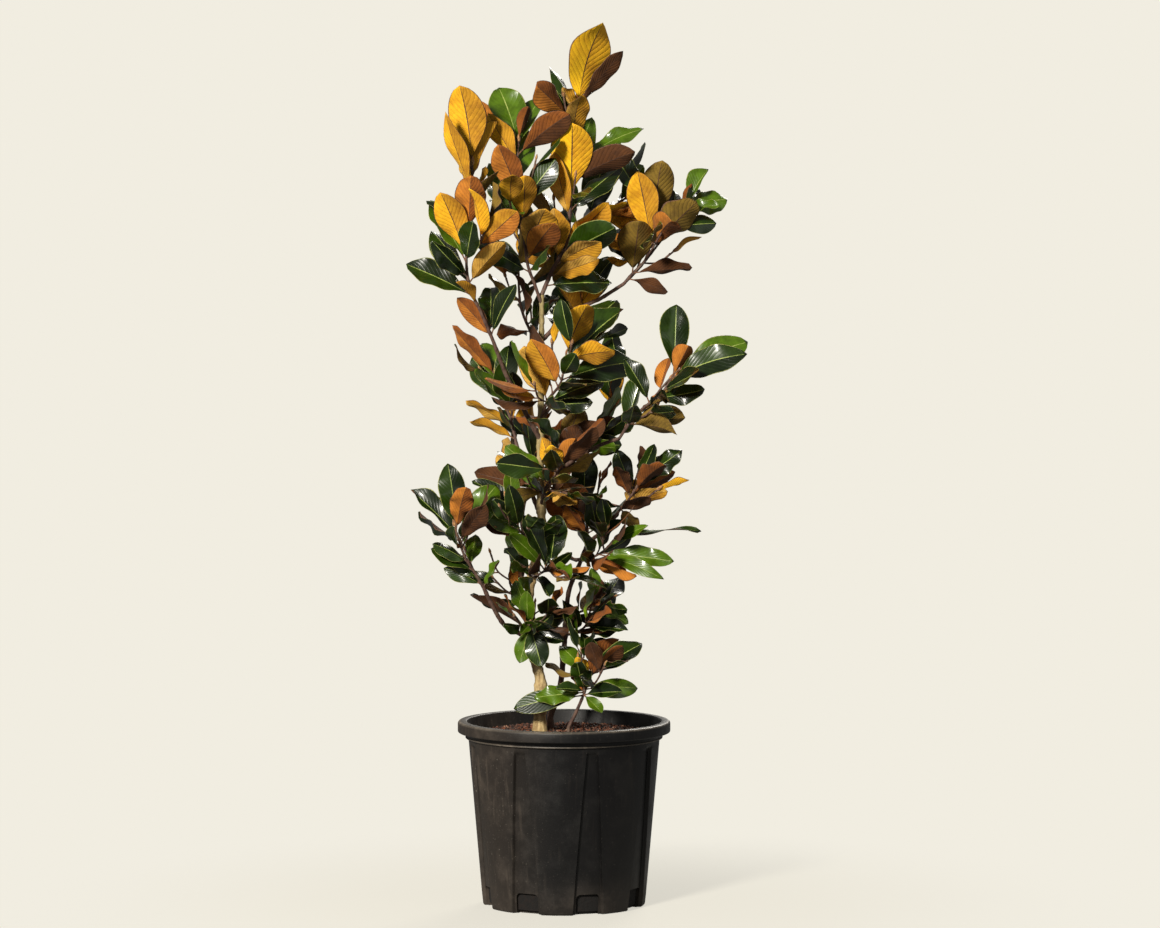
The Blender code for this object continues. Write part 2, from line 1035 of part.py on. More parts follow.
def notch_cutter(panel, cutters):
    """A box that cuts the drain notch beside one panel."""
    turn = math.radians(PANEL_TURN + (panel + 0.5) * 360.0 / PANELS)
    bpy.ops.mesh.primitive_cube_add(size=1.0)
    notch = bpy.context.object
    notch.name = "notch_cutter"
    notch.scale = (2 * NOTCH_DEPTH, NOTCH_WIDTH, 2 * NOTCH_HEIGHT)
    notch.location = (BODY_FOOT_RADIUS * math.cos(turn), BODY_FOOT_RADIUS * math.sin(turn), 0.0)
    notch.rotation_euler = (0.0, 0.0, turn)
    notch.hide_render = True
    notch.display_type = "WIRE"
    for group in list(notch.users_collection):
        group.objects.unlink(notch)
    cutters.objects.link(notch)


def pot(parts, cutters):
    """The pot: a thin panelled shell with a rolled rim and drain notches."""
    rim_foot = POT_HEIGHT - RIM_DEPTH
    rings = [
        panel_ring(0.0, BODY_FOOT_RADIUS - FOOT_ROUNDING, RECESS_DEPTH),
        panel_ring(FOOT_ROUNDING, body_radius(FOOT_ROUNDING), RECESS_DEPTH),
        panel_ring(RECESS_FULL, body_radius(RECESS_FULL), RECESS_DEPTH),
        panel_ring(RECESS_TOP, BODY_TOP_RADIUS),
        panel_ring(COLLAR_FOOT, BODY_TOP_RADIUS),
        panel_ring(COLLAR_FOOT + COLLAR_ROUNDING, COLLAR_RADIUS),
        panel_ring(rim_foot, COLLAR_RADIUS),
        panel_ring(rim_foot, RIM_RADIUS - RIM_FOOT_ROUNDING),
        panel_ring(rim_foot + RIM_ROUNDING, RIM_RADIUS),
        panel_ring(POT_HEIGHT - RIM_ROUNDING, RIM_RADIUS),
        panel_ring(POT_HEIGHT, RIM_RADIUS - RIM_ROUNDING),
        panel_ring(POT_HEIGHT, MOUTH_RADIUS),
        panel_ring(RECESS_TOP, BODY_TOP_RADIUS - WALL),
        panel_ring(RECESS_FULL, body_radius(RECESS_FULL) - WALL, RECESS_DEPTH),
        panel_ring(FLOOR, body_radius(FLOOR) - WALL, RECESS_DEPTH),
    ]
    made = skinned_rings("pot", rings, parts)
    for panel in range(PANELS):
        notch_cutter(panel, cutters)
    apply_boolean(made, "DIFFERENCE", group=cutters)
    empty_collection(cutters)
    made.data.materials.append(black_plastic())
    smooth_shaded(made)
    return made


def soil(parts):
    """The compost that fills the pot, level round the stems."""
    inner = WALL + CLEAR
    rings = [
        panel_ring(FLOOR + CLEAR, body_radius(FLOOR) - inner, RECESS_DEPTH),
        panel_ring(RECESS_FULL, body_radius(RECESS_FULL) - inner, RECESS_DEPTH),
        panel_ring(RECESS_TOP, BODY_TOP_RADIUS - inner),
        panel_ring(SOIL_TOP - SOIL_EDGE_DROP, BODY_TOP_RADIUS - inner),
        panel_ring(SOIL_TOP, SOIL_FLAT_RADIUS),
    ]
    made = skinned_rings("soil", rings, parts)
    made.data.materials.append(bark_mulch())
    smooth_shaded(made)
    return made


def leaf_shape(base, along, face, length, width, section=LEAF_SECTION, air=0.0, first=0):
    """Points and faces of one leaf: a bowed blade of one section, ending in a point."""
    side = along.cross(face)
    stations = LEAF_STATIONS[first:]
    corners = len(section)
    points = []
    for share, wide in stations:
        bow = face * LEAF_BOW * length * 4 * share * (1 - share)
        middle = base + along * length * share + bow
        half_width = side * (width / 2 * wide + air)
        half_thickness = face * (LEAF_THICKNESS / 2 + air)
        points += [middle + half_width * across + half_thickness * up for across, up in section]
    points.append(base + along * length)
    tip = len(points) - 1
    faces = [tuple(reversed(range(corners)))]
    for ring in range(len(stations) - 1):
        for corner in range(corners):
            low = corners * ring + corner
            after = corners * ring + (corner + 1) % corners
            faces.append((low, after, after + corners, low + corners))
    for corner in range(corners):
        faces.append((tip - corners + corner, tip - corners + (corner + 1) % corners, tip))
    return points, faces


def leaf_frame(turn, rise, roll, shown):
    """The direction of a leaf and the way that its upper side faces."""
    level = Vector((math.cos(turn), math.sin(turn), 0.0))
    along = level * math.cos(rise) + Vector((0.0, 0.0, math.sin(rise)))
    upright = Vector((0.0, 0.0, math.cos(rise))) - level * math.sin(rise)
    side = along.cross(upright)
    front = Vector((0.0, -shown * SHOWN_PULL, 0.0))
    face = upright * math.cos(roll) + side * math.sin(roll) + front - level * INWARD_PULL
    face -= along * face.dot(along)
    return along, face.normalized()


def ruled_leaf(shoot, path, index, chance):
    """A leaf by the spiral rule: its place, turn, rise and length."""
    share = (index + LEAF_STAGGER) / shoot.ruled_leaves
    place = FIRST_LEAF_PLACE + (1 - FIRST_LEAF_PLACE) * share
    direction = point_on(path, place)[1]
    turn = shoot.turn + index * LEAF_TURN_STEP
    turn += chance.uniform(-LEAF_TURN_SCATTER, LEAF_TURN_SCATTER)
    spread = LEAF_SPREAD_LOW + (LEAF_SPREAD_HIGH - LEAF_SPREAD_LOW) * place
    spread += chance.uniform(-LEAF_SPREAD_SCATTER, LEAF_SPREAD_SCATTER)
    turn = math.radians(turn)
    spread = math.radians(spread)
    outward = Vector((math.cos(turn), math.sin(turn), 0.0))
    outward = (outward - direction * outward.dot(direction)).normalized()
    along = direction * math.cos(spread) + outward * math.sin(spread)
    rise = math.asin(max(-1.0, min(1.0, along.z)))
    turn = math.atan2(along.y, along.x)
    length = shoot.length * chance.uniform(LEAF_LENGTH_LEAST, LEAF_LENGTH_MOST)
    return place, turn, rise, length


def leaves_of(name, shoot, path, placed, obstacles):
    """The leaves of one shoot that stay clear of every limb and of each other."""
    chance = random.Random(name)
    wanted = []
    for place, turn, rise, length, shown in shoot.leading:
        wanted.append((place, math.radians(turn), math.radians(rise), length * MILLIMETRE, shown))
    for index in range(shoot.ruled_leaves):
        wanted.append((*ruled_leaf(shoot, path, index, chance), None))
    kept = []
    for place, turn, rise, length, shown in wanted:
        ruled = shown is None
        wide = chance.uniform(1 - LEAF_WIDTH_SCATTER, 1 + LEAF_WIDTH_SCATTER)
        width = length * LEAF_WIDTH_SHARE * wide
        most_roll = LEAF_ROLL if ruled else LEADING_LEAF_ROLL
        roll = math.radians(chance.uniform(-most_roll, most_roll))
        base = point_on(path, place)[0]
        for attempt in range(LEAF_TURN_TRIES):
            nudge = math.radians(LEAF_TURN_NUDGE) * ((attempt + 1) // 2) * (-1) ** attempt
            along, face = leaf_frame(turn + nudge, rise, roll, shown or EDGE)
            tip = base + along * length
            reach = math.hypot(tip.x - CROWN_MIDDLE[0], tip.y - CROWN_MIDDLE[1])
            if ruled and (reach > CROWN_RADIUS or tip.z < CROWN_LOWEST):
                continue
            leaf = (base, along, face, length, width)
            if has_room(name, leaf, placed, obstacles):
                kept.append(leaf)
                break
    return kept


def has_room(name, leaf, placed, obstacles):
    """Whether a leaf is clear of all pieces.  If so it is noted as placed."""
    room = {"section": SPACE_SECTION, "air": LEAF_AIR}
    whole = BVHTree.FromPolygons(*leaf_shape(*leaf, **room))
    blade = BVHTree.FromPolygons(*leaf_shape(*leaf, **room, first=BLADE_FROM_STATION))
    for owner, tree in obstacles:
        mine = blade if owner == name else whole
        if mine.overlap(tree):
            return False
    for owner, other_whole, other_blade in placed:
        if owner == name:
            if blade.overlap(other_blade):
                return False
        elif whole.overlap(other_whole):
            return False
    placed.append((name, whole, blade))
    return True


def join_leaves(name, stem, leaves):
    """Joins a shoot's leaves onto its stem by one union."""
    group = new_collection(name + "_leaves")
    for number, leaf in enumerate(leaves):
        mesh_object("leaf_%d" % number, *leaf_shape(*leaf), group)
    apply_boolean(stem, "UNION", group=group, solver="MANIFOLD")
    empty_collection(group)
    bpy.data.collections.remove(group)
    drop_scraps(stem.data)


def bare_limbs(parts, cutters, bodies, obstacles):
    """The trunk, the other stems and the boughs.  A stem starts straight up."""
    trunk_bark = old_bark()
    bough_bark = young_bark()
    for name, limb in LIMBS.items():
        path = smooth_path(limb.path)
        if not limb.springs_from:
            path[1] = Vector((*path[0].xy, path[1].z))
        radii = limb_radii(path, limb.foot_radius, limb.tip_radius, limb.flare)
        sides = BOUGH_SIDES if limb.springs_from else TRUNK_SIDES
        made = tube(name, path, radii, sides, parts)
        cut_clear(made, bodies, limb.springs_from, cutters)
        bodies[name] = (path, radii, sides)
        made.data.materials.append(trunk_bark if name == "trunk" else bough_bark)
        smooth_shaded(made)
        obstacles.append((name, tree_of(made)))


def leafy_shoots(parts, cutters, bodies, obstacles):
    """All the shoots' stems, and then the leaves of each."""
    leaf_material = foliage()
    stems = {}
    for name, shoot in SHOOTS.items():
        path = smooth_path(shoot.stem)
        radii = limb_radii(path, shoot.radius, TWIG_TIP_RADIUS, 1.0)
        stem = tube(name, path, radii, TWIG_SIDES, parts)
        cut_clear(stem, bodies, shoot.springs_from, cutters)
        bodies[name] = (path, radii, TWIG_SIDES)
        stems[name] = (stem, path)
        obstacles.append((name, tree_of(stem)))
    placed = []
    for name, shoot in SHOOTS.items():
        stem, path = stems[name]
        join_leaves(name, stem, leaves_of(name, shoot, path, placed, obstacles))
        stem.data.materials.clear()
        stem.data.materials.append(leaf_material)


def main():
    """Builds the pot, the soil, the bare limbs and the leafy shoots."""
    clear_scene()
    parts = new_collection("magnolia_tree")
    cutters = new_collection("cutters")
    obstacles = [("pot", tree_of(pot(parts, cutters))), ("soil", tree_of(soil(parts)))]
    bodies = {}
    bare_limbs(parts, cutters, bodies, obstacles)
    leafy_shoots(parts, cutters, bodies, obstacles)


main()
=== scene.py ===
"""The looks of a young southern magnolia in a black nursery pot.

Metres, +Z up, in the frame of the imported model.  The tree faces -Y.
Boughs, twigs and leaves grow by the same seeded rule as the model's solids.
"""

import json
import math
import random
from typing import NamedTuple

import bpy
from mathutils import Matrix, Quaternion, Vector
from mathutils.bvhtree import BVHTree

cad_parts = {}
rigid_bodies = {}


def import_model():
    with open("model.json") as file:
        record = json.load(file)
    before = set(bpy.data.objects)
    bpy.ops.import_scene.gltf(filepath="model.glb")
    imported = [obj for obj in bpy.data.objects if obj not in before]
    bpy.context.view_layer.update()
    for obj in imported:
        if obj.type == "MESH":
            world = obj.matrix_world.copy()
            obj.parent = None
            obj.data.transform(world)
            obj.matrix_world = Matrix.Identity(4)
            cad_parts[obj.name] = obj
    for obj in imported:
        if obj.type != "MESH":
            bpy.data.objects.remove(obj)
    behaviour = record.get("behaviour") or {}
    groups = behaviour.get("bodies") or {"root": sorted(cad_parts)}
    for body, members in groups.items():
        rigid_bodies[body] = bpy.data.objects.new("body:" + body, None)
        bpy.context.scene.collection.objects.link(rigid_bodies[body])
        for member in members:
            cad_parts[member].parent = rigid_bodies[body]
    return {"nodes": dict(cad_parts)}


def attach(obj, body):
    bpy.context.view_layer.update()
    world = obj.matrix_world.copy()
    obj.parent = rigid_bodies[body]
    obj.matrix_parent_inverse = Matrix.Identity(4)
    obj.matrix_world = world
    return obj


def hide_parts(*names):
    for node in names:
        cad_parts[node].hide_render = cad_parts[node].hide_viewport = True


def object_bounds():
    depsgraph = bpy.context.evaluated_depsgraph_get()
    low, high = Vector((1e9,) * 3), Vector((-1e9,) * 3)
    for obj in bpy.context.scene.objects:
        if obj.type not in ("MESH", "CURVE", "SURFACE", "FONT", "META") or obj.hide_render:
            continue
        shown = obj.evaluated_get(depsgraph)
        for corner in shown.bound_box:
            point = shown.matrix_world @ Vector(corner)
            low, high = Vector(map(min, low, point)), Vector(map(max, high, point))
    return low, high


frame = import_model()
cad_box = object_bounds()

BODY = "root"

# Camera: where it stands, its tilt below level and its lens
CAMERA_PLACE = Vector((0.021, -6.0, 0.927))
CAMERA_TILT = 3.3
CAMERA_LENS = 142.1
CAMERA_SENSOR = 36.0

# The photograph's size, and the camera's focal length in its pixels
PHOTO_SIZE = (1160, 928)
PHOTO_FOCAL = PHOTO_SIZE[0] * CAMERA_LENS / CAMERA_SENSOR

# Soft studio lights: place, size, power and colour
CROWN_AIM = (0.0, 0.0, 0.7)
LIGHTS = {
    "key": ((-2.1, -4.2, 2.6), 0.8, 430.0, (1.0, 0.95, 0.86)),
    "fill": ((3.0, -3.0, 1.6), 2.2, 10.0, (1.0, 0.98, 0.95)),
    "rim": ((1.0, 3.6, 2.8), 1.6, 110.0, (1.0, 0.96, 0.88)),
}
BACKGROUND_LIGHT = (0.20, 0.196, 0.185)
BACKGROUND_SEEN = (0.880, 0.847, 0.752)

# The floor, which takes a faint shadow and fades out
STAGE_RADIUS = 3.0
STAGE_CORNERS = 96
STAGE_SHADOW = 0.32
STAGE_FADE = (0.15, 0.75)
STAGE_FINISH = {"Base Color": (0.62, 0.60, 0.535), "Roughness": 0.9, "Specular IOR Level": 0.1}

# Pot: a rolled rim on a tapering body with eight raised panels
POT_HEIGHT = 0.243
RIM_RADIUS = 0.140
RIM_DEPTH = 0.0145
RIM_TOP_ROUNDING = 0.0035
RIM_FOOT_ROUNDING = 0.0015
MOUTH_RADIUS = 0.1275
MOUTH_ROUNDING = 0.002
COLLAR_RADIUS = 0.1300
COLLAR_DEPTH = 0.0225
COLLAR_FOOT = POT_HEIGHT - COLLAR_DEPTH
BEAD_HALF = 0.0012
BEAD_HEIGHT = COLLAR_FOOT + BEAD_HALF
BODY_TOP_RADIUS = 0.1260
BODY_FOOT_RADIUS = 0.1070
FOOT_ROUNDING = 0.003
WALL = 0.004
FLOOR = 0.004
ROUNDING_STEPS = 4
SHARP_ANGLE = 42.0

# Panels of the pot and the recesses between them, which run out under the collar
PANELS = 8
PANEL_TURN = -95.0
PANEL_STEPS = 8
RECESS_STEPS = 5
EDGE_STEPS = 4
BODY_STEPS = 16
RECESS_DEPTH = 0.0045
RECESS_TOP = COLLAR_FOOT - 0.004
RECESS_FULL = COLLAR_FOOT - 0.012
RECESS_TOP_HALF_ANGLE = 2.6
RECESS_FOOT_HALF_ANGLE = 10.5
RECESS_SLOPE_ANGLE = 0.9

# Drain notches at the foot of each recess
NOTCH_HEIGHT = 0.027
NOTCH_WIDTH = 0.032
NOTCH_DEPTH = 0.014
NOTCH_ROUNDING = 0.006
NOTCH_CORNER_STEPS = 5

# The gap between parts that would otherwise touch
CLEAR = 0.0003

# Compost: level round the stems, sloping a little to the pot's wall
SOIL_TOP = 0.229
SOIL_EDGE_DROP = 0.005
SOIL_EDGE_RUN = 0.027
SOIL_FLAT_RADIUS = 0.095
SOIL_SINK = 0.002

# Mulch: bark chips of a few shapes, turned and tilted at random, just above the compost
MULCH_SINK = 0.001
MULCH_SIDES = 24
MULCH_WALL_GAP = 0.005
MULCH_RADII = (0.012, 0.04, 0.07, SOIL_FLAT_RADIUS, BODY_TOP_RADIUS - WALL - MULCH_WALL_GAP)
CHIP_SMALLEST = 0.0035
CHIP_LARGEST = 0.0095
CHIP_SHAPES = 7
CHIP_CORNERS = 5
CHIP_TURN_SCATTER = 0.25
CHIP_HALF_LENGTHS = (0.40, 0.55)
CHIP_HALF_WIDTHS = (0.18, 0.30)
CHIP_HALF_DEPTHS = (0.05, 0.11)
CHIP_TAPER = 0.9
CHIP_TILT = 0.9
CHIP_TURN_SEED = 3

# The mulch's tones: the dark and the light brown, chips per square metre and the seed
MULCH_TONES = {
    "mulch_red": ((0.050, 0.015, 0.007), (0.17, 0.055, 0.024), 24000.0, 5),
    "mulch_dark": ((0.008, 0.004, 0.003), (0.045, 0.018, 0.010), 20000.0, 9),
    "mulch_pale": ((0.16, 0.075, 0.045), (0.42, 0.24, 0.15), 3500.0, 14),
}

# Leaves as the model's solids have them, for the room that each one keeps
LEAF_STATIONS = ((0.0, 0.05), (0.33, 0.93), (0.75, 0.84))
BLADE_FROM_STATION = 1
SPACE_SECTION = ((-1, 1), (1, 1), (1, -1), (-1, -1))
LEAF_THICKNESS = 0.0018
LEAF_WIDTH_SHARE = 0.45
LEAF_WIDTH_SCATTER = 0.12
LEAF_LENGTH_LEAST = 0.72
LEAF_LENGTH_MOST = 1.12
LEAF_BOW = 0.06
LEAF_AIR = 0.0008

# The spiral rule: where leaves stand on a shoot, and how they turn and spread
FIRST_LEAF_PLACE = 0.1
LEAF_STAGGER = 0.6
LEAF_TURN_STEP = 144.0
LEAF_TURN_SCATTER = 16.0
LEAF_SPREAD_LOW = 52.0
LEAF_SPREAD_HIGH = 24.0
LEAF_SPREAD_SCATTER = 9.0
LEAF_ROLL = 75.0
LEADING_LEAF_ROLL = 15.0
INWARD_PULL = 0.5
LEAF_TURN_TRIES = 9
LEAF_TURN_NUDGE = 19.0
SHOWN_PULL = 1.6

# The crown's reach round its middle, and the lowest height of a leaf grown by rule
CROWN_MIDDLE = (0.01, 0.0)
CROWN_RADIUS = 0.215
CROWN_LOWEST = 0.262
REACH_OVER = 0.004

# Gaps where the sky shows through the crown: the middle and radius, in the photograph's pixels
SKY_GAPS = (
    ((455, 191), 15), ((436, 184), 11), ((513, 98), 9), ((592, 124), 10), ((610, 198), 14),
    ((535, 210), 9), ((507, 235), 9), ((640, 258), 11), ((664, 262), 13), ((690, 256), 13),
    ((633, 346), 14), ((634, 370), 17), ((642, 392), 10), ((455, 366), 11), ((475, 409), 10),
    ((618, 478), 13), ((650, 446), 10), ((664, 452), 9), ((484, 546), 15), ((502, 566), 15),
    ((437, 552), 9), ((658, 556), 11), ((617, 592), 10), ((600, 676), 11), ((634, 606), 8),
)

# Leading leaves that those grown by rule don't hide: the middle and radius, in the same pixels
SHOWN_PLACES = (
    ((551, 352), 14), ((534, 384), 14), ((587, 318), 12), ((600, 352), 12), ((575, 170), 14),
    ((590, 66), 14), ((655, 200), 12), ((672, 238), 12), ((453, 232), 12), ((470, 120), 12),
)

# Where along a leaf it is tried against those gaps and places
GAP_SHARES = (0.35, 0.6, 0.85, 1.0)

# How often a leaf grown by rule is turned over on its stalk, below and above a height
TURNED_HEIGHT = 0.70
TURNED_LOW = 0.80
TURNED_HIGH = 0.22

# The side that a leading leaf shows to the front
UNDER = -1.0
EDGE = 0.0
UPPER = 1.0

# A finished blade: stations along it, columns across it, and its thickness
BLADE_STATIONS = 15
BLADE_COLUMNS = (-1.0, -0.955, -0.5, -0.03, 0.03, 0.5, 0.955, 1.0)
BLADE_THICKNESS = 0.00045
BLADE_FROM = 0.11
BLADE_FIT = 1.06
OUTLINE_LEAN_LEAST = 1.0
OUTLINE_LEAN_MOST = 1.4
OUTLINE_FULLNESS = 0.66
OUTLINE_FROM = 0.012
OUTLINE_LEAST = 0.02
DRIP_POINT = 0.06
DRIP_NARROWING = 0.5
STATION_EASE = 0.9
RIB_HALF = 0.1
RIB_RISE = 0.0007
RIB_TAPER = 0.7
RIB_SINK = 0.0002

# How a finished blade folds, bows, twists and waves, and how often it is tried flatter
FOLD_LEAST = -30.0
FOLD_MOST = 42.0
TWIST = 22.0
TIP_CURL_LEAST = -0.10
TIP_CURL_MOST = 0.16
WAVE_LEAST = 0.03
WAVE_MOST = 0.105
WAVES_LEAST = 1.2
WAVES_MOST = 2.8
WAVE_EDGE_POWER = 1.3
WAVE_FADE = 4
SWAY = 0.05
FLATTER_TRIES = (1.0, 0.6, 0.3, 0.0)
NARROWER_TRIES = (1.0, 0.82, 0.66, 0.5)
SWING_TRIES = ((0, 0), (8, 0), (-8, 0), (0, 8), (0, -8), (10, 14), (-10, -14), (-10, 14), (10, -14))

# Side twigs, which fill the crown between the model's leaves
SIDE_TWIGS = 4
SIDE_TWIG_FIRST = 0.30
SIDE_TWIG_STEP = 0.20
SIDE_TWIG_LENGTH = 0.045
SIDE_TWIG_LEAST = 0.7
SIDE_TWIG_MOST = 1.2
SIDE_TWIG_TURN = 80
SIDE_TWIG_SPREAD = 48.0
SIDE_TWIG_OUT = 0.8
SIDE_TWIG_ON = 0.3
SIDE_TWIG_RISE = 0.1
SIDE_TWIG_LEAVES = 5
SIDE_TWIG_RADIUS = 0.0012
SIDE_LEAF_SHARE = 0.92

# Stems, petioles and buds
TWIG_TIP_RADIUS = 0.0014
TWIG_TIP_SHARE = 0.9
PATH_STEPS = 2
PATH_LEAST_STEPS = 3
TWIG_STEPS = 3
LIMB_STEPS = 4
FLARE_SHARE = 0.05
FLARE_POWER = 1.5
BARK_STEP = 0.0022
NODE_SPACING = 0.016
NODE_FIRST = (0.4, 1.0)
NODE_SCATTER = (0.6, 1.4)
NODE_SWELL = 0.16
NODE_SWELL_SCATTER = (0.5, 1.3)
NODE_REACH = 0.0022
KNOT_SWELL = 0.26
KNOT_REACH = 0.009
PETIOLE_LAP = 0.02
PETIOLE_RADIUS = 0.0010
PETIOLE_FOOT_RADIUS = 0.0017
PETIOLE_STEPS = 5
PETIOLE_FOOT_STEEPNESS = 3
BUD_LENGTH = 0.011
BUD_RADIUS = 0.0021
BUD_SCATTER = 0.25
BUD_STEPS = 9
BUD_SINK = 0.1
BUD_POINT = 0.06
BUD_LEAN = 0.8
BUD_FULLNESS = 0.8
MILLIMETRE = 0.001

# Bark's relief: sides of the swept section, depth in metres and grains per metre
TWIG_RELIEF = {"Sides": 8, "Relief": 0.0004, "Grain": 500.0}
PETIOLE_RELIEF = {"Sides": 6, "Relief": 0.0002, "Grain": 700.0}
BUD_RELIEF = {"Sides": 10, "Relief": 0.0003, "Grain": 600.0}
LIMB_RELIEF = {"Sides": 20, "Grain": 210.0}
LIMB_RELIEF_SHARE = 0.28

# Knots, at shares of a limb's length
KNOTS = {
    "trunk": (0.055, 0.10, 0.19, 0.215, 0.25, 0.37, 0.47, 0.52, 0.66),
    "stem_rear": (0.4, 0.55),
}

# Spray of tints, by the height of the leaf: each band is its top and its tints. The paler golds
# high up and the darker browns low down are partly the leaves' own colours and partly painted light
# from above, with painted shade in the lower crown.
UNDER_SPRAY = (
    (0.52, ("rust", "umber", "orange", "umber", "rust", "olive")),
    (0.78, ("orange", "tan", "olive", "rust", "amber", "umber", "gold")),
    (2.00, ("gold", "amber", "tan", "yellow", "olive", "orange")),
)
UPPER_SPRAY = ("dark", "deep", "dark", "leaf", "dark", "deep", "leaf", "dark")

# The painted shade on a leaf's half away from the key light: the darker tint it takes, by the tint
# of its half towards the light
SHADE_TINT = {
    "yellow": "gold",
    "gold": "amber",
    "amber": "orange",
    "tan": "amber",
    "orange": "rust",
    "rust": "umber",
    "olive": "olive",
    "umber": "umber",
    "lime": "leaf",
    "leaf": "leaf",
    "dark": "deep",
    "deep": "deep",
}

# Tints of the leaves: two tones of each underside, and one of each upper side. The bright yellow
# and gold undersides are partly painted light, standing in for light that shines through the
# leaves, and the dark and deep greens are darkened partly as painted shade.
UNDER_COLOURS = {
    "yellow": ((0.92, 0.53, 0.012), (0.70, 0.34, 0.010)),
    "gold": ((0.80, 0.42, 0.014), (0.50, 0.21, 0.010)),
    "amber": ((0.52, 0.255, 0.014), (0.28, 0.115, 0.010)),
    "tan": ((0.60, 0.345, 0.060), (0.36, 0.175, 0.024)),
    "orange": ((0.50, 0.18, 0.022), (0.25, 0.080, 0.012)),
    "rust": ((0.26, 0.080, 0.012), (0.110, 0.033, 0.007)),
    "umber": ((0.085, 0.030, 0.008), (0.034, 0.013, 0.005)),
    "olive": ((0.21, 0.130, 0.018), (0.095, 0.055, 0.012)),
}

UPPER_COLOURS = {
    "lime": (0.180, 0.290, 0.006),
    "leaf": (0.075, 0.145, 0.004),
    "dark": (0.018, 0.042, 0.001),
    "deep": (0.006, 0.015, 0.0015),
}

# Midribs and margins of the leaves: two close tones and the roughness
RIB_FINISHES = {
    "upper_rib": ((0.16, 0.23, 0.035), (0.33, 0.38, 0.10), 0.4),
    "upper_margin": ((0.10, 0.13, 0.02), (0.34, 0.33, 0.09), 0.45),
    "under_rib": ((0.030, 0.014, 0.010), (0.11, 0.045, 0.018), 0.7),
    "under_margin": ((0.035, 0.014, 0.012), (0.17, 0.075, 0.025), 0.7),
}

# Side veins: pairs along a blade, how far they slant forward, and how broad they look
VEIN_PAIRS = 11.0
VEIN_SLANT = 7.0
VEIN_BREADTH = 0.35

# Felt on stalks and buds, from dark to light
STALK_BROWNS = ((0.055, 0.024, 0.014), (0.20, 0.085, 0.032))
BUD_BROWNS = ((0.16, 0.062, 0.022), (0.46, 0.24, 0.085))

# Old bark of the trunk and young bark of the boughs: dark, light and what lies over them
OLD_BARK_TANS = ((0.26, 0.170, 0.070), (0.62, 0.47, 0.23))
OLD_BARK_WORN = (0.155, 0.095, 0.052)
OLD_BARK_GREEN = (0.15, 0.135, 0.05)
OLD_BARK_PORE = (0.60, 0.47, 0.30)
YOUNG_BARK_BROWNS = ((0.040, 0.020, 0.016), (0.125, 0.066, 0.048))
YOUNG_BARK_BLOOM = (0.175, 0.125, 0.085)
YOUNG_BARK_PORE = (0.27, 0.20, 0.14)

# Pot and compost colours
POT_BLACKS = ((0.0030, 0.0028, 0.0030), (0.0060, 0.0055, 0.0052))
# Dust, which also serves as painted light on the pot's left side
POT_DUST_AND_LIGHT = (0.062, 0.048, 0.037)
# A painted highlight on the bead and the lip's top edge
POT_HIGHLIGHT = (0.20, 0.17, 0.135)
POT_SPECK = (0.21, 0.185, 0.155)
COMPOST_BROWNS = ((0.010, 0.005, 0.003), (0.085, 0.035, 0.016))
COMPOST_DAMP = (0.012, 0.007, 0.005)
COMPOST_SHADED = (0.0015, 0.0012, 0.001)


class Limb(NamedTuple):
    """A bare limb: its path, its foot and tip radii, and its root flare."""

    path: tuple
    foot_radius: float
    tip_radius: float
    flare: float = 1.0


class Shoot(NamedTuple):
    """A leafy shoot: one stem, leading leaves that give its outline, the rest by rule.

    The rule takes a usual leaf length, the compass turn of its first leaf and a count.
    A leading leaf is its place along the stem, its compass turn, its rise above level,
    its length in millimetres, the side that it shows to the front, that side's tint and
    the blade's width as a share of the leaf's length.
    """

    stem: tuple
    radius: float
    length: float
    turn: float
    ruled_leaves: int
    leading: tuple = ()


class Leaf(NamedTuple):
    """One leaf: where it starts, its direction, its upper side's facing, size and tints."""

    base: Vector
    along: Vector
    face: Vector
    length: float
    width: float
    upper_tint: str
    under_tint: str


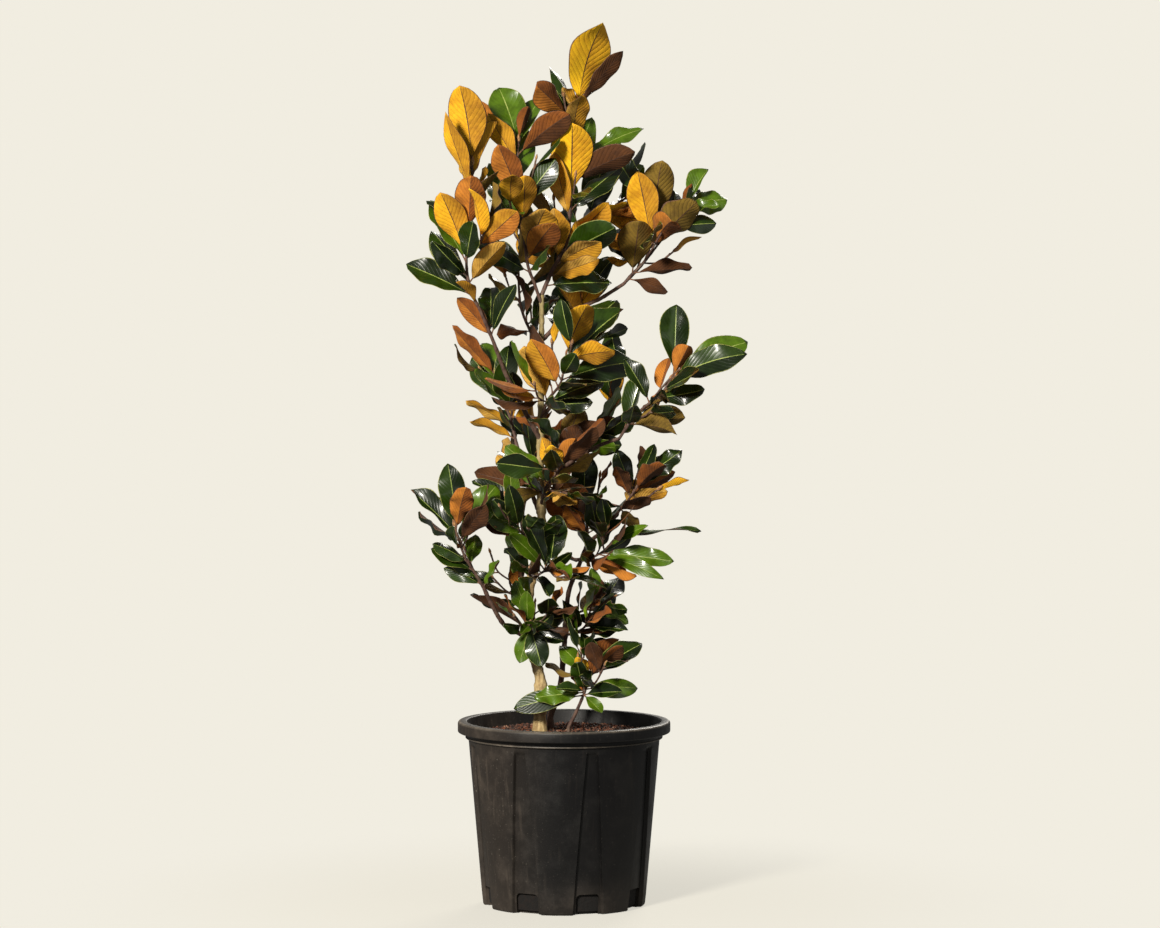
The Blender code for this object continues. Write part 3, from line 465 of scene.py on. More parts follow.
LIMBS = {
    "trunk": Limb(
        path=(
            (-0.032, 0.000, SOIL_TOP + CLEAR), (-0.032, 0.000, 0.250), (-0.031, 0.000, 0.295),
            (-0.040, -0.004, 0.333), (-0.046, -0.006, 0.400), (-0.040, -0.004, 0.443),
            (-0.030, 0.000, 0.490), (-0.031, 0.002, 0.560), (-0.030, 0.002, 0.680),
            (-0.029, 0.000, 0.803),
        ),
        foot_radius=0.0074, tip_radius=0.0031, flare=1.45,
    ),
    "stem_rear": Limb(
        path=(
            (-0.018, 0.040, SOIL_TOP + CLEAR), (-0.018, 0.040, 0.245), (-0.005, 0.038, 0.285),
            (0.002, 0.036, 0.363), (0.006, 0.038, 0.409), (0.018, 0.040, 0.440),
            (0.029, 0.042, 0.469),
        ),
        foot_radius=0.0042, tip_radius=0.0026, flare=1.3,
    ),
    "stem_low": Limb(
        path=(
            (0.006, -0.020, SOIL_TOP + CLEAR), (0.006, -0.020, 0.236), (0.014, -0.022, 0.252),
            (0.024, -0.025, 0.275),
        ),
        foot_radius=0.0026, tip_radius=0.0020, flare=1.3,
    ),
    "bough_left_low": Limb(
        path=(
            (-0.0405, -0.0045, 0.342), (-0.055, -0.019, 0.358), (-0.076, -0.042, 0.371),
            (-0.090, -0.060, 0.394), (-0.1035, -0.073, 0.423),
        ),
        foot_radius=0.0034, tip_radius=0.0025,
    ),
    "bough_left_middle": Limb(
        path=(
            (-0.0305, 0.001, 0.512), (-0.044, 0.022, 0.545), (-0.054, 0.040, 0.572),
            (-0.064, 0.052, 0.608),
        ),
        foot_radius=0.0031, tip_radius=0.0024,
    ),
    "bough_left_high": Limb(
        path=(
            (-0.0305, 0.002, 0.612), (-0.056, -0.018, 0.660), (-0.076, -0.036, 0.701),
            (-0.091, -0.050, 0.742),
        ),
        foot_radius=0.0033, tip_radius=0.0024,
    ),
    "bough_right_high": Limb(
        path=(
            (-0.030, 0.001, 0.742), (0.008, 0.018, 0.778), (0.047, 0.030, 0.797),
            (0.079, 0.036, 0.817),
        ),
        foot_radius=0.0030, tip_radius=0.0023,
    ),
    "bough_right_middle": Limb(
        path=(
            (-0.0305, 0.001, 0.540), (0.000, -0.022, 0.578), (0.042, -0.050, 0.606),
            (0.072, -0.066, 0.618),
        ),
        foot_radius=0.0030, tip_radius=0.0022,
    ),
    "bough_right_low": Limb(
        path=(
            (0.029, 0.042, 0.469), (0.040, 0.034, 0.481), (0.056, 0.022, 0.498),
            (0.068, 0.012, 0.513),
        ),
        foot_radius=0.0024, tip_radius=0.0019,
    ),
    "bough_back_low": Limb(
        path=(
            (-0.0385, -0.003, 0.450), (-0.050, 0.030, 0.476), (-0.056, 0.062, 0.500),
            (-0.052, 0.086, 0.530),
        ),
        foot_radius=0.0030, tip_radius=0.0022,
    ),
    "bough_back_middle": Limb(
        path=(
            (-0.030, 0.002, 0.640), (-0.008, 0.032, 0.668), (0.012, 0.062, 0.694),
            (0.020, 0.080, 0.722),
        ),
        foot_radius=0.0029, tip_radius=0.0021,
    ),
}

SHOOTS = {
    "leader": Shoot(
        stem=(
            (-0.029, 0.000, 0.803), (-0.014, 0.001, 0.838), (0.003, 0.001, 0.868),
            (0.008, 0.000, 0.914), (0.011, -0.001, 0.985), (0.018, -0.001, 1.049),
        ),
        radius=0.0028, length=0.088, turn=60, ruled_leaves=16,
        leading=(
            (1.00, -27, 73, 115, UNDER, "yellow", 0.62),
            (0.97, 37, 51, 94, UNDER, "rust", 0.35),
            (0.95, 138, 52, 82, EDGE, "dark", 0.30),
            (0.94, -124, 53, 51, UNDER, "tan", 0.42),
            (0.69, 17, 28, 112, UPPER, "leaf", 0.22),
            (0.62, -19, 22, 95, UNDER, "umber", 0.46),
            (0.52, -87, 74, 109, UNDER, "yellow", 0.53),
            (0.46, 27, 37, 97, UPPER, "dark", 0.35),
            (0.42, -133, 69, 92, UNDER, "tan", 0.36),
            (0.30, -36, 33, 81, UNDER, "gold", 0.60),
            (0.17, -35, 23, 80, UNDER, "tan", 0.52),
        ),
    ),
    "tuft_left_inner": Shoot(
        stem=(
            (-0.029, 0.000, 0.790), (-0.040, -0.012, 0.822), (-0.048, -0.020, 0.847),
            (-0.055, -0.028, 0.916), (-0.060, -0.033, 0.975), (-0.059, -0.034, 1.003),
        ),
        radius=0.0022, length=0.080, turn=10, ruled_leaves=12,
        leading=(
            (0.98, 140, 68, 83, UPPER, "leaf", 0.62),
            (1.00, -57, 62, 51, UNDER, "rust", 0.38),
            (0.92, -12, 39, 88, UNDER, "rust", 0.46),
            (0.86, -146, 48, 78, UNDER, "gold", 0.45),
            (0.66, -130, 55, 82, UNDER, "orange", 0.50),
            (0.55, 160, 59, 86, UPPER, "leaf", 0.42),
            (0.62, 62, 50, 76, UPPER, "dark", 0.50),
            (0.33, -58, 53, 79, UNDER, "tan", 0.66),
            (0.22, -61, 30, 66, UPPER, "dark", 0.50),
        ),
    ),
    "tuft_left_high": Shoot(
        stem=(
            (-0.091, -0.050, 0.742), (-0.108, -0.060, 0.783), (-0.121, -0.067, 0.812),
            (-0.126, -0.071, 0.850), (-0.121, -0.074, 0.908), (-0.118, -0.077, 0.972),
        ),
        radius=0.0024, length=0.080, turn=100, ruled_leaves=11,
        leading=(
            (1.00, -133, 79, 105, UNDER, "gold", 0.49),
            (0.97, 139, 51, 72, UPPER, "dark", 0.42),
            (0.93, 18, 60, 82, UNDER, "amber", 0.42),
            (0.84, -171, 58, 115, EDGE, "gold", 0.25),
            (0.50, -138, 62, 95, UNDER, "gold", 0.43),
            (0.47, 162, 50, 98, UPPER, "leaf", 0.42),
            (0.34, 149, 52, 94, UPPER, "dark", 0.42),
            (0.28, 174, 23, 97, UPPER, "dark", 0.42),
            (0.36, -27, 42, 73, UNDER, "tan", 0.52),
            (0.03, -140, 55, 69, UNDER, "orange", 0.50),
        ),
    ),
    "tuft_left_middle": Shoot(
        stem=(
            (-0.064, 0.052, 0.608), (-0.070, 0.060, 0.634), (-0.080, 0.068, 0.662),
            (-0.090, 0.074, 0.694),
        ),
        radius=0.0023, length=0.078, turn=210, ruled_leaves=9,
        leading=(
            (0.98, -162, 44, 91, UNDER, "orange", 0.32),
            (0.90, 145, 57, 68, UPPER, "leaf", 0.50),
            (0.62, 158, 43, 80, UPPER, "dark", 0.50),
            (0.20, -160, 30, 76, UNDER, "tan", 0.24),
        ),
    ),
    "tuft_left_low": Shoot(
        stem=(
            (-0.1035, -0.073, 0.423), (-0.116, -0.082, 0.446), (-0.126, -0.089, 0.462),
            (-0.134, -0.095, 0.482), (-0.140, -0.100, 0.504),
        ),
        radius=0.0023, length=0.072, turn=0, ruled_leaves=4,
        leading=(
            (1.00, 140, 79, 84, UPPER, "dark", 0.44),
            (0.88, 166, 42, 86, UPPER, "dark", 0.44),
            (0.97, -70, 53, 71, UNDER, "orange", 0.44),
            (0.74, 28, 57, 94, UPPER, "leaf", 0.44),
            (0.80, -32, 39, 73, UNDER, "umber", 0.44),
            (0.46, -155, 29, 56, UPPER, "dark", 0.44),
            (0.12, 161, 40, 62, UPPER, "dark", 0.44),
            (0.40, 81, 40, 53, UPPER, "leaf", 0.44),
        ),
    ),
    "tuft_trunk_low": Shoot(
        stem=(
            (-0.0415, -0.0045, 0.352), (-0.045, -0.022, 0.366), (-0.044, -0.036, 0.376),
        ),
        radius=0.0019, length=0.058, turn=200, ruled_leaves=4,
        leading=(
            (0.45, -173, 24, 92, EDGE, "dark", 0.44),
            (0.85, -110, -18, 40, UPPER, "leaf", 0.44),
        ),
    ),
    "tuft_trunk_middle": Shoot(
        stem=(
            (-0.0425, -0.0045, 0.430), (-0.030, -0.032, 0.440), (-0.018, -0.054, 0.449),
        ),
        radius=0.0020, length=0.076, turn=150, ruled_leaves=7,
        leading=(
            (1.00, 140, 48, 84, UPPER, "dark", 0.44),
            (0.70, 60, 52, 70, UPPER, "dark", 0.44),
            (0.75, -160, 45, 70, UPPER, "leaf", 0.44),
            (0.90, 125, 60, 80, UPPER, "dark", 0.44),
        ),
    ),
    "tuft_front": Shoot(
        stem=(
            (-0.0305, 0.001, 0.527), (-0.026, -0.034, 0.545), (-0.016, -0.070, 0.560),
            (-0.006, -0.100, 0.584),
        ),
        radius=0.0021, length=0.074, turn=80, ruled_leaves=7,
        leading=(
            (0.95, -24, 42, 76, UNDER, "umber", 0.44),
            (0.75, -30, 30, 74, UNDER, "olive", 0.44),
            (0.85, -95, 42, 60, UNDER, "yellow", 0.44),
            (0.60, 165, 38, 78, UPPER, "leaf", 0.44),
            (0.40, -150, -10, 60, UNDER, "olive", 0.44),
        ),
    ),
    "tuft_front_high": Shoot(
        stem=(
            (-0.030, 0.002, 0.640), (-0.020, -0.034, 0.668), (-0.004, -0.064, 0.690),
            (0.003, -0.084, 0.728),
        ),
        radius=0.0022, length=0.078, turn=130, ruled_leaves=9,
        leading=(
            (1.00, -42, 60, 75, UNDER, "gold", 0.74),
            (0.95, -25, 8, 71, UNDER, "gold", 0.55),
            (0.88, 17, 42, 108, UPPER, "dark", 0.58),
            (0.70, 16, 15, 105, UPPER, "dark", 0.45),
            (0.30, -140, 62, 84, UNDER, "tan", 0.55),
            (0.60, -150, 55, 74, UNDER, "amber", 0.62),
            (0.45, 0, 35, 84, UPPER, "dark", 0.50),
        ),
    ),
    "tuft_right_high": Shoot(
        stem=(
            (0.079, 0.036, 0.817), (0.092, 0.038, 0.832), (0.108, 0.040, 0.850),
            (0.119, 0.041, 0.888),
        ),
        radius=0.0022, length=0.086, turn=40, ruled_leaves=11,
        leading=(
            (1.00, -62, 78, 94, UNDER, "olive", 0.50),
            (0.80, -144, 69, 97, UNDER, "gold", 0.46),
            (0.70, -18, 40, 88, UNDER, "olive", 0.64),
            (0.20, -77, 62, 80, UNDER, "olive", 0.66),
            (0.04, -10, 8, 92, UNDER, "umber", 0.40),
            (0.90, 120, 66, 84, UPPER, "dark", 0.45),
        ),
    ),
    "tuft_right_far": Shoot(
        stem=(
            (0.079, 0.036, 0.817), (0.100, 0.052, 0.838), (0.130, 0.060, 0.876),
            (0.150, 0.060, 0.905), (0.163, 0.060, 0.921),
        ),
        radius=0.0018, length=0.070, turn=300, ruled_leaves=9,
        leading=(
            (1.00, 21, 59, 56, UPPER, "leaf", 0.66),
            (0.96, 15, 11, 60, UPPER, "leaf", 0.62),
            (0.93, -22, -12, 56, UPPER, "leaf", 0.72),
            (0.90, -52, 55, 44, UNDER, "rust", 0.30),
            (0.80, 150, 62, 66, UPPER, "dark", 0.42),
        ),
    ),
    "tuft_right_middle": Shoot(
        stem=(
            (0.072, -0.066, 0.618), (0.092, -0.076, 0.648), (0.110, -0.084, 0.664),
            (0.128, -0.090, 0.680), (0.143, -0.094, 0.704),
        ),
        radius=0.0021, length=0.074, turn=240, ruled_leaves=6,
        leading=(
            (0.98, 80, 77, 90, UPPER, "dark", 0.56),
            (1.00, 9, 24, 105, UPPER, "leaf", 0.42),
            (0.93, -14, 20, 104, UPPER, "dark", 0.42),
            (0.97, -62, 51, 47, UNDER, "orange", 0.70),
            (0.76, -24, 18, 76, UPPER, "dark", 0.46),
            (0.40, -10, 21, 66, UNDER, "olive", 0.30),
            (0.10, 30, 66, 78, UPPER, "dark", 0.46),
            (0.22, -19, 3, 74, UNDER, "olive", 0.55),
            (0.55, 170, 60, 66, UPPER, "dark", 0.46),
        ),
    ),
    "tuft_rear_top": Shoot(
        stem=(
            (0.029, 0.042, 0.469), (0.031, 0.036, 0.492), (0.026, 0.032, 0.520),
        ),
        radius=0.0021, length=0.074, turn=30, ruled_leaves=9,
        leading=(
            (0.80, -158, 61, 84, UNDER, "orange", 0.44),
            (0.30, -125, 40, 62, UNDER, "orange", 0.44),
            (0.90, 126, 73, 82, UPPER, "dark", 0.44),
            (0.45, -11, 19, 62, UPPER, "leaf", 0.44),
        ),
    ),
    "tuft_right_low": Shoot(
        stem=(
            (0.068, 0.012, 0.513), (0.080, 0.004, 0.528), (0.090, -0.002, 0.542),
            (0.098, -0.006, 0.556),
        ),
        radius=0.0018, length=0.066, turn=110, ruled_leaves=8,
        leading=(
            (1.00, 9, 34, 72, UPPER, "dark", 0.44),
            (0.80, -16, 30, 74, UNDER, "rust", 0.44),
            (0.60, -66, 50, 54, UNDER, "rust", 0.44),
            (0.12, -46, 28, 68, UNDER, "umber", 0.44),
            (0.30, -36, 20, 62, UNDER, "tan", 0.44),
            (0.95, 50, 63, 58, UPPER, "dark", 0.44),
            (0.75, 140, 58, 60, UPPER, "dark", 0.44),
        ),
    ),
    "tuft_rear_right": Shoot(
        stem=(
            (0.0215, 0.0405, 0.450), (0.036, 0.020, 0.456), (0.052, 0.008, 0.466),
            (0.066, 0.000, 0.482),
        ),
        radius=0.0019, length=0.070, turn=200, ruled_leaves=9,
        leading=(
            (0.95, 3, 7, 118, EDGE, "dark", 0.14),
            (0.60, -4, -8, 98, UPPER, "leaf", 0.30),
            (0.80, 20, 24, 74, UPPER, "leaf", 0.24),
            (0.50, -100, 55, 60, UPPER, "dark", 0.46),
            (0.90, 60, 50, 66, UPPER, "dark", 0.46),
        ),
    ),
    "tuft_rear_middle": Shoot(
        stem=(
            (0.002, 0.036, 0.352), (0.014, 0.010, 0.358), (0.026, -0.008, 0.366),
            (0.034, -0.016, 0.378),
        ),
        radius=0.0017, length=0.062, turn=320, ruled_leaves=10,
        leading=(
            (0.85, -70, 62, 62, UPPER, "lime", 0.44),
            (0.90, 30, 40, 56, UPPER, "dark", 0.44),
            (0.60, -60, -40, 52, UPPER, "dark", 0.44),
        ),
    ),
    "tuft_left_front": Shoot(
        stem=(
            (-0.033, -0.001, 0.476), (-0.046, -0.030, 0.486), (-0.058, -0.054, 0.498),
            (-0.064, -0.072, 0.520),
        ),
        radius=0.0019, length=0.072, turn=90, ruled_leaves=8,
        leading=(
            (0.70, -140, 50, 74, UNDER, "umber", 0.44),
            (0.50, -165, 30, 66, UPPER, "leaf", 0.44),
            (0.95, 60, 56, 66, UPPER, "dark", 0.44),
        ),
    ),
    "tuft_back_top": Shoot(
        stem=(
            (0.005, 0.0007, 0.885), (0.030, 0.034, 0.902), (0.052, 0.056, 0.924),
            (0.066, 0.064, 0.950),
        ),
        radius=0.0018, length=0.080, turn=30, ruled_leaves=12,
    ),
    "tuft_rear_low": Shoot(
        stem=(
            (0.003, 0.0365, 0.372), (0.020, 0.020, 0.384), (0.038, 0.010, 0.390),
            (0.050, 0.004, 0.392),
        ),
        radius=0.0017, length=0.060, turn=20, ruled_leaves=8,
        leading=(
            (0.90, 52, 49, 42, UPPER, "dark", 0.44),
            (1.00, -9, 28, 70, UPPER, "dark", 0.44),
            (0.80, -44, 30, 44, UPPER, "leaf", 0.44),
            (0.92, -28, -20, 46, UPPER, "leaf", 0.44),
            (0.40, -70, 60, 50, UPPER, "dark", 0.44),
        ),
    ),
    "tuft_low": Shoot(
        stem=(
            (0.024, -0.025, 0.275), (0.030, -0.031, 0.292), (0.034, -0.036, 0.306),
        ),
        radius=0.0018, length=0.060, turn=70, ruled_leaves=6,
        leading=(
            (0.90, -25, 44, 66, UNDER, "rust", 0.44),
            (0.95, 10, 26, 88, UPPER, "dark", 0.44),
            (0.85, 151, 46, 62, UPPER, "leaf", 0.44),
            (0.60, -133, 50, 48, UNDER, "yellow", 0.44),
            (0.40, 8, 2, 70, UPPER, "leaf", 0.44),
            (0.25, 178, -8, 66, UPPER, "leaf", 0.44),
            (0.15, -30, 4, 62, UPPER, "dark", 0.44),
        ),
    ),
    "tuft_back_low": Shoot(
        stem=(
            (-0.052, 0.086, 0.530), (-0.046, 0.100, 0.558), (-0.036, 0.108, 0.590),
        ),
        radius=0.0021, length=0.080, turn=60, ruled_leaves=9,
    ),
    "tuft_back_middle": Shoot(
        stem=(
            (0.020, 0.080, 0.722), (0.024, 0.094, 0.752), (0.022, 0.104, 0.792),
            (0.014, 0.110, 0.828),
        ),
        radius=0.0020, length=0.082, turn=15, ruled_leaves=11,
    ),
    "tuft_back_high": Shoot(
        stem=(
            (-0.0295, 0.001, 0.722), (-0.046, 0.030, 0.758), (-0.058, 0.058, 0.790),
            (-0.060, 0.070, 0.842), (-0.054, 0.074, 0.888),
        ),
        radius=0.0022, length=0.082, turn=350, ruled_leaves=11,
    ),
    "tuft_back_right": Shoot(
        stem=(
            (-0.030, 0.001, 0.586), (0.000, 0.034, 0.608), (0.034, 0.060, 0.620),
            (0.056, 0.070, 0.644), (0.064, 0.074, 0.676),
        ),
        radius=0.0022, length=0.076, turn=280, ruled_leaves=10,
    ),
    "tuft_back_foot": Shoot(
        stem=(
            (-0.0455, -0.006, 0.390), (-0.064, 0.018, 0.408), (-0.072, 0.040, 0.424),
            (-0.070, 0.056, 0.448),
        ),
        radius=0.0020, length=0.066, turn=160, ruled_leaves=8,
    ),
}


# More leading leaves, which the solids have no need of.  Each is its place along the
# stem, its tip's pixel in the photograph, how far its tip lies behind its base in mm,
# the side shown, the tint and the width as a share of its length.
LATE_LEAVES = {
    "leader": (
        (0.99, (621, 52), 22, UNDER, "umber", 0.30),
        (0.60, (592, 118), 50, UPPER, "leaf", 0.36),
        (0.10, (604, 262), -12, UNDER, "tan", 0.40),
        (0.05, (612, 284), 14, UPPER, "dark", 0.42),
    ),
    "tuft_left_inner": (
        (0.97, (549, 96), 30, UPPER, "leaf", 0.34),
    ),
    "tuft_left_high": (
        (0.66, (484, 166), 22, UNDER, "tan", 0.22),
        (0.70, (427, 124), -22, UNDER, "gold", 0.14),
        (0.05, (447, 309), 20, UPPER, "dark", 0.45),
        (0.06, (455, 286), 30, UPPER, "dark", 0.42),
        (0.04, (503, 284), 30, UPPER, "deep", 0.46),
    ),
    "tuft_left_middle": (
        (0.03, (470, 419), -10, UNDER, "tan", 0.28),
        (0.70, (512, 345), 10, UPPER, "dark", 0.46),
        (0.55, (470, 372), -30, UPPER, "leaf", 0.44),
        (0.62, (510, 312), 26, UNDER, "umber", 0.44),
    ),
    "tuft_right_high": (
        (0.80, (641, 147), 50, UPPER, "dark", 0.32),
        (0.22, (690, 272), -34, UNDER, "umber", 0.34),
        (0.10, (668, 292), -22, UNDER, "umber", 0.38),
    ),
    "tuft_front_high": (
        (0.92, (632, 293), 10, UPPER, "dark", 0.42),
        (0.55, (628, 318), 24, UPPER, "dark", 0.44),
        (0.28, (604, 380), 20, UPPER, "dark", 0.42),
        (0.24, (592, 406), 10, UPPER, "deep", 0.46),
        (0.46, (498, 338), 20, UNDER, "umber", 0.40),
        (0.12, (520, 288), -14, UPPER, "deep", 0.46),
        (0.10, (566, 318), 16, UNDER, "umber", 0.40),
    ),
    "tuft_right_middle": (
        (0.20, (684, 431), -10, UNDER, "olive", 0.60),
        (0.62, (704, 392), 16, UPPER, "dark", 0.44),
    ),
    "tuft_right_low": (
        (0.30, (658, 520), -10, UNDER, "olive", 0.70),
        (0.20, (648, 531), 10, UNDER, "olive", 0.50),
        (0.90, (687, 458), 20, UNDER, "rust", 0.40),
    ),
    "tuft_left_low": (
        (0.30, (431, 548), 10, UPPER, "dark", 0.45),
        (0.06, (444, 566), 10, UPPER, "dark", 0.42),
        (0.02, (508, 560), 10, UPPER, "leaf", 0.50),
    ),
    "tuft_front": (
        (0.30, (508, 452), 0, UPPER, "leaf", 0.62),
        (0.10, (547, 492), 18, UPPER, "dark", 0.50),
    ),
    "tuft_rear_top": (
        (0.60, (600, 520), -20, UPPER, "dark", 0.42),
    ),
    "tuft_rear_right": (
        (0.55, (672, 576), -20, UPPER, "leaf", 0.20),
        (0.35, (582, 560), -20, UPPER, "dark", 0.45),
    ),
    "tuft_rear_low": (
        (0.90, (651, 589), 10, UPPER, "dark", 0.42),
    ),
    "tuft_rear_middle": (
        (0.80, (630, 628), 0, UPPER, "dark", 0.45),
    ),
    "tuft_trunk_low": (
        (0.45, (465, 601), -20, UPPER, "dark", 0.16),
        (0.60, (515, 663), -15, UPPER, "leaf", 0.50),
        (0.80, (541, 668), -15, UPPER, "dark", 0.55),
    ),
    "tuft_low": (
        (0.12, (516, 713), -24, UPPER, "dark", 0.34),
        (0.16, (603, 716), -26, UPPER, "leaf", 0.42),
        (0.30, (556, 688), -20, UPPER, "dark", 0.46),
        (0.70, (634, 640), 20, UNDER, "rust", 0.42),
    ),
}


# Paths

def smooth_path(points, steps=PATH_STEPS):
    """A smooth curve through the points, whose neighbours give its slope at each."""
    knots = [Vector(point) for point in points]
    ends = [2 * knots[0] - knots[1], *knots, 2 * knots[-1] - knots[-2]]
    curve = []
    for before, start, stop, after in zip(ends, ends[1:], ends[2:], ends[3:]):
        for step in range(steps):
            share = step / steps
            bend = 2 * before - 5 * start + 4 * stop - after
            twist = 3 * start - before - 3 * stop + after
            slope = (stop - before) * share
            curve.append(start + (slope + bend * share**2 + twist * share**3) / 2)
    curve.append(knots[-1])
    return curve


def path_run(path):
    """The length of a path up to each of its points."""
    run = [0.0]
    for start, stop in zip(path, path[1:]):
        run.append(run[-1] + (stop - start).length)
    return run


def point_on(path, share):
    """The point and the direction at a share of a path's length."""
    run = path_run(path)
    shares = [length / run[-1] for length in run]
    for index in range(len(path) - 1):
        if share <= shares[index + 1] or index == len(path) - 2:
            span = shares[index + 1] - shares[index]
            part = (share - shares[index]) / span
            direction = (path[index + 1] - path[index]).normalized()
            return path[index].lerp(path[index + 1], part), direction


def even_path(path, step):
    """The same path with points at an even step."""
    count = max(PATH_LEAST_STEPS, round(path_run(path)[-1] / step))
    return [point_on(path, index / count)[0] for index in range(count + 1)]


def bands(rings, around, start=0):
    """Faces that join rings of points, each ring to the next."""
    faces = []
    for ring in range(rings - 1):
        for corner in range(around):
            low = start + ring * around + corner
            after = start + ring * around + (corner + 1) % around
            faces.append((low, after, after + around, low + around))
    return faces


# The growth rule, as the model's solids have it

def leaf_frame(turn, rise, roll, shown):
    """The direction of a leaf and the way that its upper side faces."""
    level = Vector((math.cos(turn), math.sin(turn), 0.0))
    along = level * math.cos(rise) + Vector((0.0, 0.0, math.sin(rise)))
    upright = Vector((0.0, 0.0, math.cos(rise))) - level * math.sin(rise)
    side = along.cross(upright)
    front = Vector((0.0, -shown * SHOWN_PULL, 0.0))
    face = upright * math.cos(roll) + side * math.sin(roll) + front - level * INWARD_PULL
    face -= along * face.dot(along)
    return along, face.normalized()


def ruled_leaf(shoot, path, index, chance):
    """A leaf by the spiral rule: its place, turn, rise and length."""
    share = (index + LEAF_STAGGER) / shoot.ruled_leaves
    place = FIRST_LEAF_PLACE + (1 - FIRST_LEAF_PLACE) * share
    direction = point_on(path, place)[1]
    turn = shoot.turn + index * LEAF_TURN_STEP
    turn += chance.uniform(-LEAF_TURN_SCATTER, LEAF_TURN_SCATTER)
    spread = LEAF_SPREAD_LOW + (LEAF_SPREAD_HIGH - LEAF_SPREAD_LOW) * place
    spread += chance.uniform(-LEAF_SPREAD_SCATTER, LEAF_SPREAD_SCATTER)
    turn = math.radians(turn)
    spread = math.radians(spread)
    outward = Vector((math.cos(turn), math.sin(turn), 0.0))
    outward = (outward - direction * outward.dot(direction)).normalized()
    along = direction * math.cos(spread) + outward * math.sin(spread)
    rise = math.asin(max(-1.0, min(1.0, along.z)))
    turn = math.atan2(along.y, along.x)
    length = shoot.length * chance.uniform(LEAF_LENGTH_LEAST, LEAF_LENGTH_MOST)
    return place, turn, rise, length


def leaf_space(leaf, first=0):
    """A search tree over the box-like space that one leaf keeps to itself."""
    side = leaf.along.cross(leaf.face)
    points = []
    for share, wide in LEAF_STATIONS[first:]:
        bow = leaf.face * LEAF_BOW * leaf.length * 4 * share * (1 - share)
        middle = leaf.base + leaf.along * leaf.length * share + bow
        half_width = side * (leaf.width / 2 * wide + LEAF_AIR)
        half_thickness = leaf.face * (LEAF_THICKNESS / 2 + LEAF_AIR)
        points += [middle + half_width * a + half_thickness * b for a, b in SPACE_SECTION]
    points.append(leaf.base + leaf.along * leaf.length)
    tip = len(points) - 1
    corners = len(SPACE_SECTION)
    faces = [tuple(reversed(range(corners)))]
    faces += bands(len(LEAF_STATIONS[first:]), corners)
    for corner in range(corners):
        faces.append((tip - corners + corner, tip - corners + (corner + 1) % corners, tip))
    return BVHTree.FromPolygons(points, faces)


def has_room(name, leaf, placed, obstacles):
    """Whether a leaf is clear of all pieces.  If so it is noted as placed."""
    whole = leaf_space(leaf)
    blade = leaf_space(leaf, BLADE_FROM_STATION)
    for owner, tree in obstacles:
        if (blade if owner == name else whole).overlap(tree):
            return False
    for owner, other_whole, other_blade in placed:
        if owner == name:
            if blade.overlap(other_blade):
                return False
        elif whole.overlap(other_whole):
            return False
    placed.append((name, whole, blade))
    return True


def in_box(point):
    """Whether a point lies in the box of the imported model, or just outside it."""
    low, high = cad_box
    return all(low[axis] - REACH_OVER < point[axis] < high[axis] + REACH_OVER for axis in range(3))


def sprayed_tints(height, chance):
    """An upper and an under tint for a leaf at a height."""
    band = next(tints for top, tints in UNDER_SPRAY if height < top)
    return chance.choice(UPPER_SPRAY), chance.choice(band)


class Wish(NamedTuple):
    """A leaf that is still to find its room."""

    base: Vector
    turn: float
    rise: float
    roll: float
    length: float
    width: float
    blade_width: float
    shown: float
    ruled: bool
    upper_tint: str
    under_tint: str


def wished(base, turn, rise, length, chance, spray, look=None):
    """A leaf by its place and direction.  A leading leaf has a look as well."""
    wide = chance.uniform(1 - LEAF_WIDTH_SCATTER, 1 + LEAF_WIDTH_SCATTER)
    width = length * LEAF_WIDTH_SHARE * wide
    most_roll = LEADING_LEAF_ROLL if look else LEAF_ROLL
    roll = math.radians(chance.uniform(-most_roll, most_roll))
    upper_tint, under_tint = sprayed_tints(base.z, spray)
    shown, blade_width = EDGE, width * BLADE_FIT
    if look:
        shown, tint, share = look
        blade_width = length * share
        if tint in UNDER_COLOURS:
            under_tint = tint
        else:
            upper_tint = tint
    sizes = (length, width, blade_width)
    return Wish(base, turn, rise, roll, *sizes, shown, not look, upper_tint, under_tint)


def wished_leaves(name, shoot, path):
    """A shoot's leading leaves and its leaves by rule, with the same draws as the model's."""
    chance = random.Random(name)
    spray = random.Random(name + "_tints")
    wanted = [(place, *angles, row) for place, angles, row in leading_places(shoot.leading)]
    for index in range(shoot.ruled_leaves):
        wanted.append((*ruled_leaf(shoot, path, index, chance), None))
    made = []
    for place, turn, rise, length, look in wanted:
        base = point_on(path, place)[0]
        made.append(wished(base, turn, rise, length, chance, spray, look))
    return made


def leading_places(rows):
    """The places, angles with length, and looks of leading leaves."""
    for place, turn, rise, length, *look in rows:
        yield place, (math.radians(turn), math.radians(rise), length * MILLIMETRE), look


def place_seen(pixel, depth):
    """The place at a depth (y) that the camera sees at a pixel of the photograph."""
    across = (pixel[0] - PHOTO_SIZE[0] / 2) / PHOTO_FOCAL
    up = (PHOTO_SIZE[1] / 2 - pixel[1]) / PHOTO_FOCAL
    pitch = math.radians(CAMERA_TILT)
    ahead = math.cos(pitch) + up * math.sin(pitch)
    rise = up * math.cos(pitch) - math.sin(pitch)
    reach = (depth - CAMERA_PLACE.y) / ahead
    return CAMERA_PLACE + Vector((across, ahead, rise)) * reach


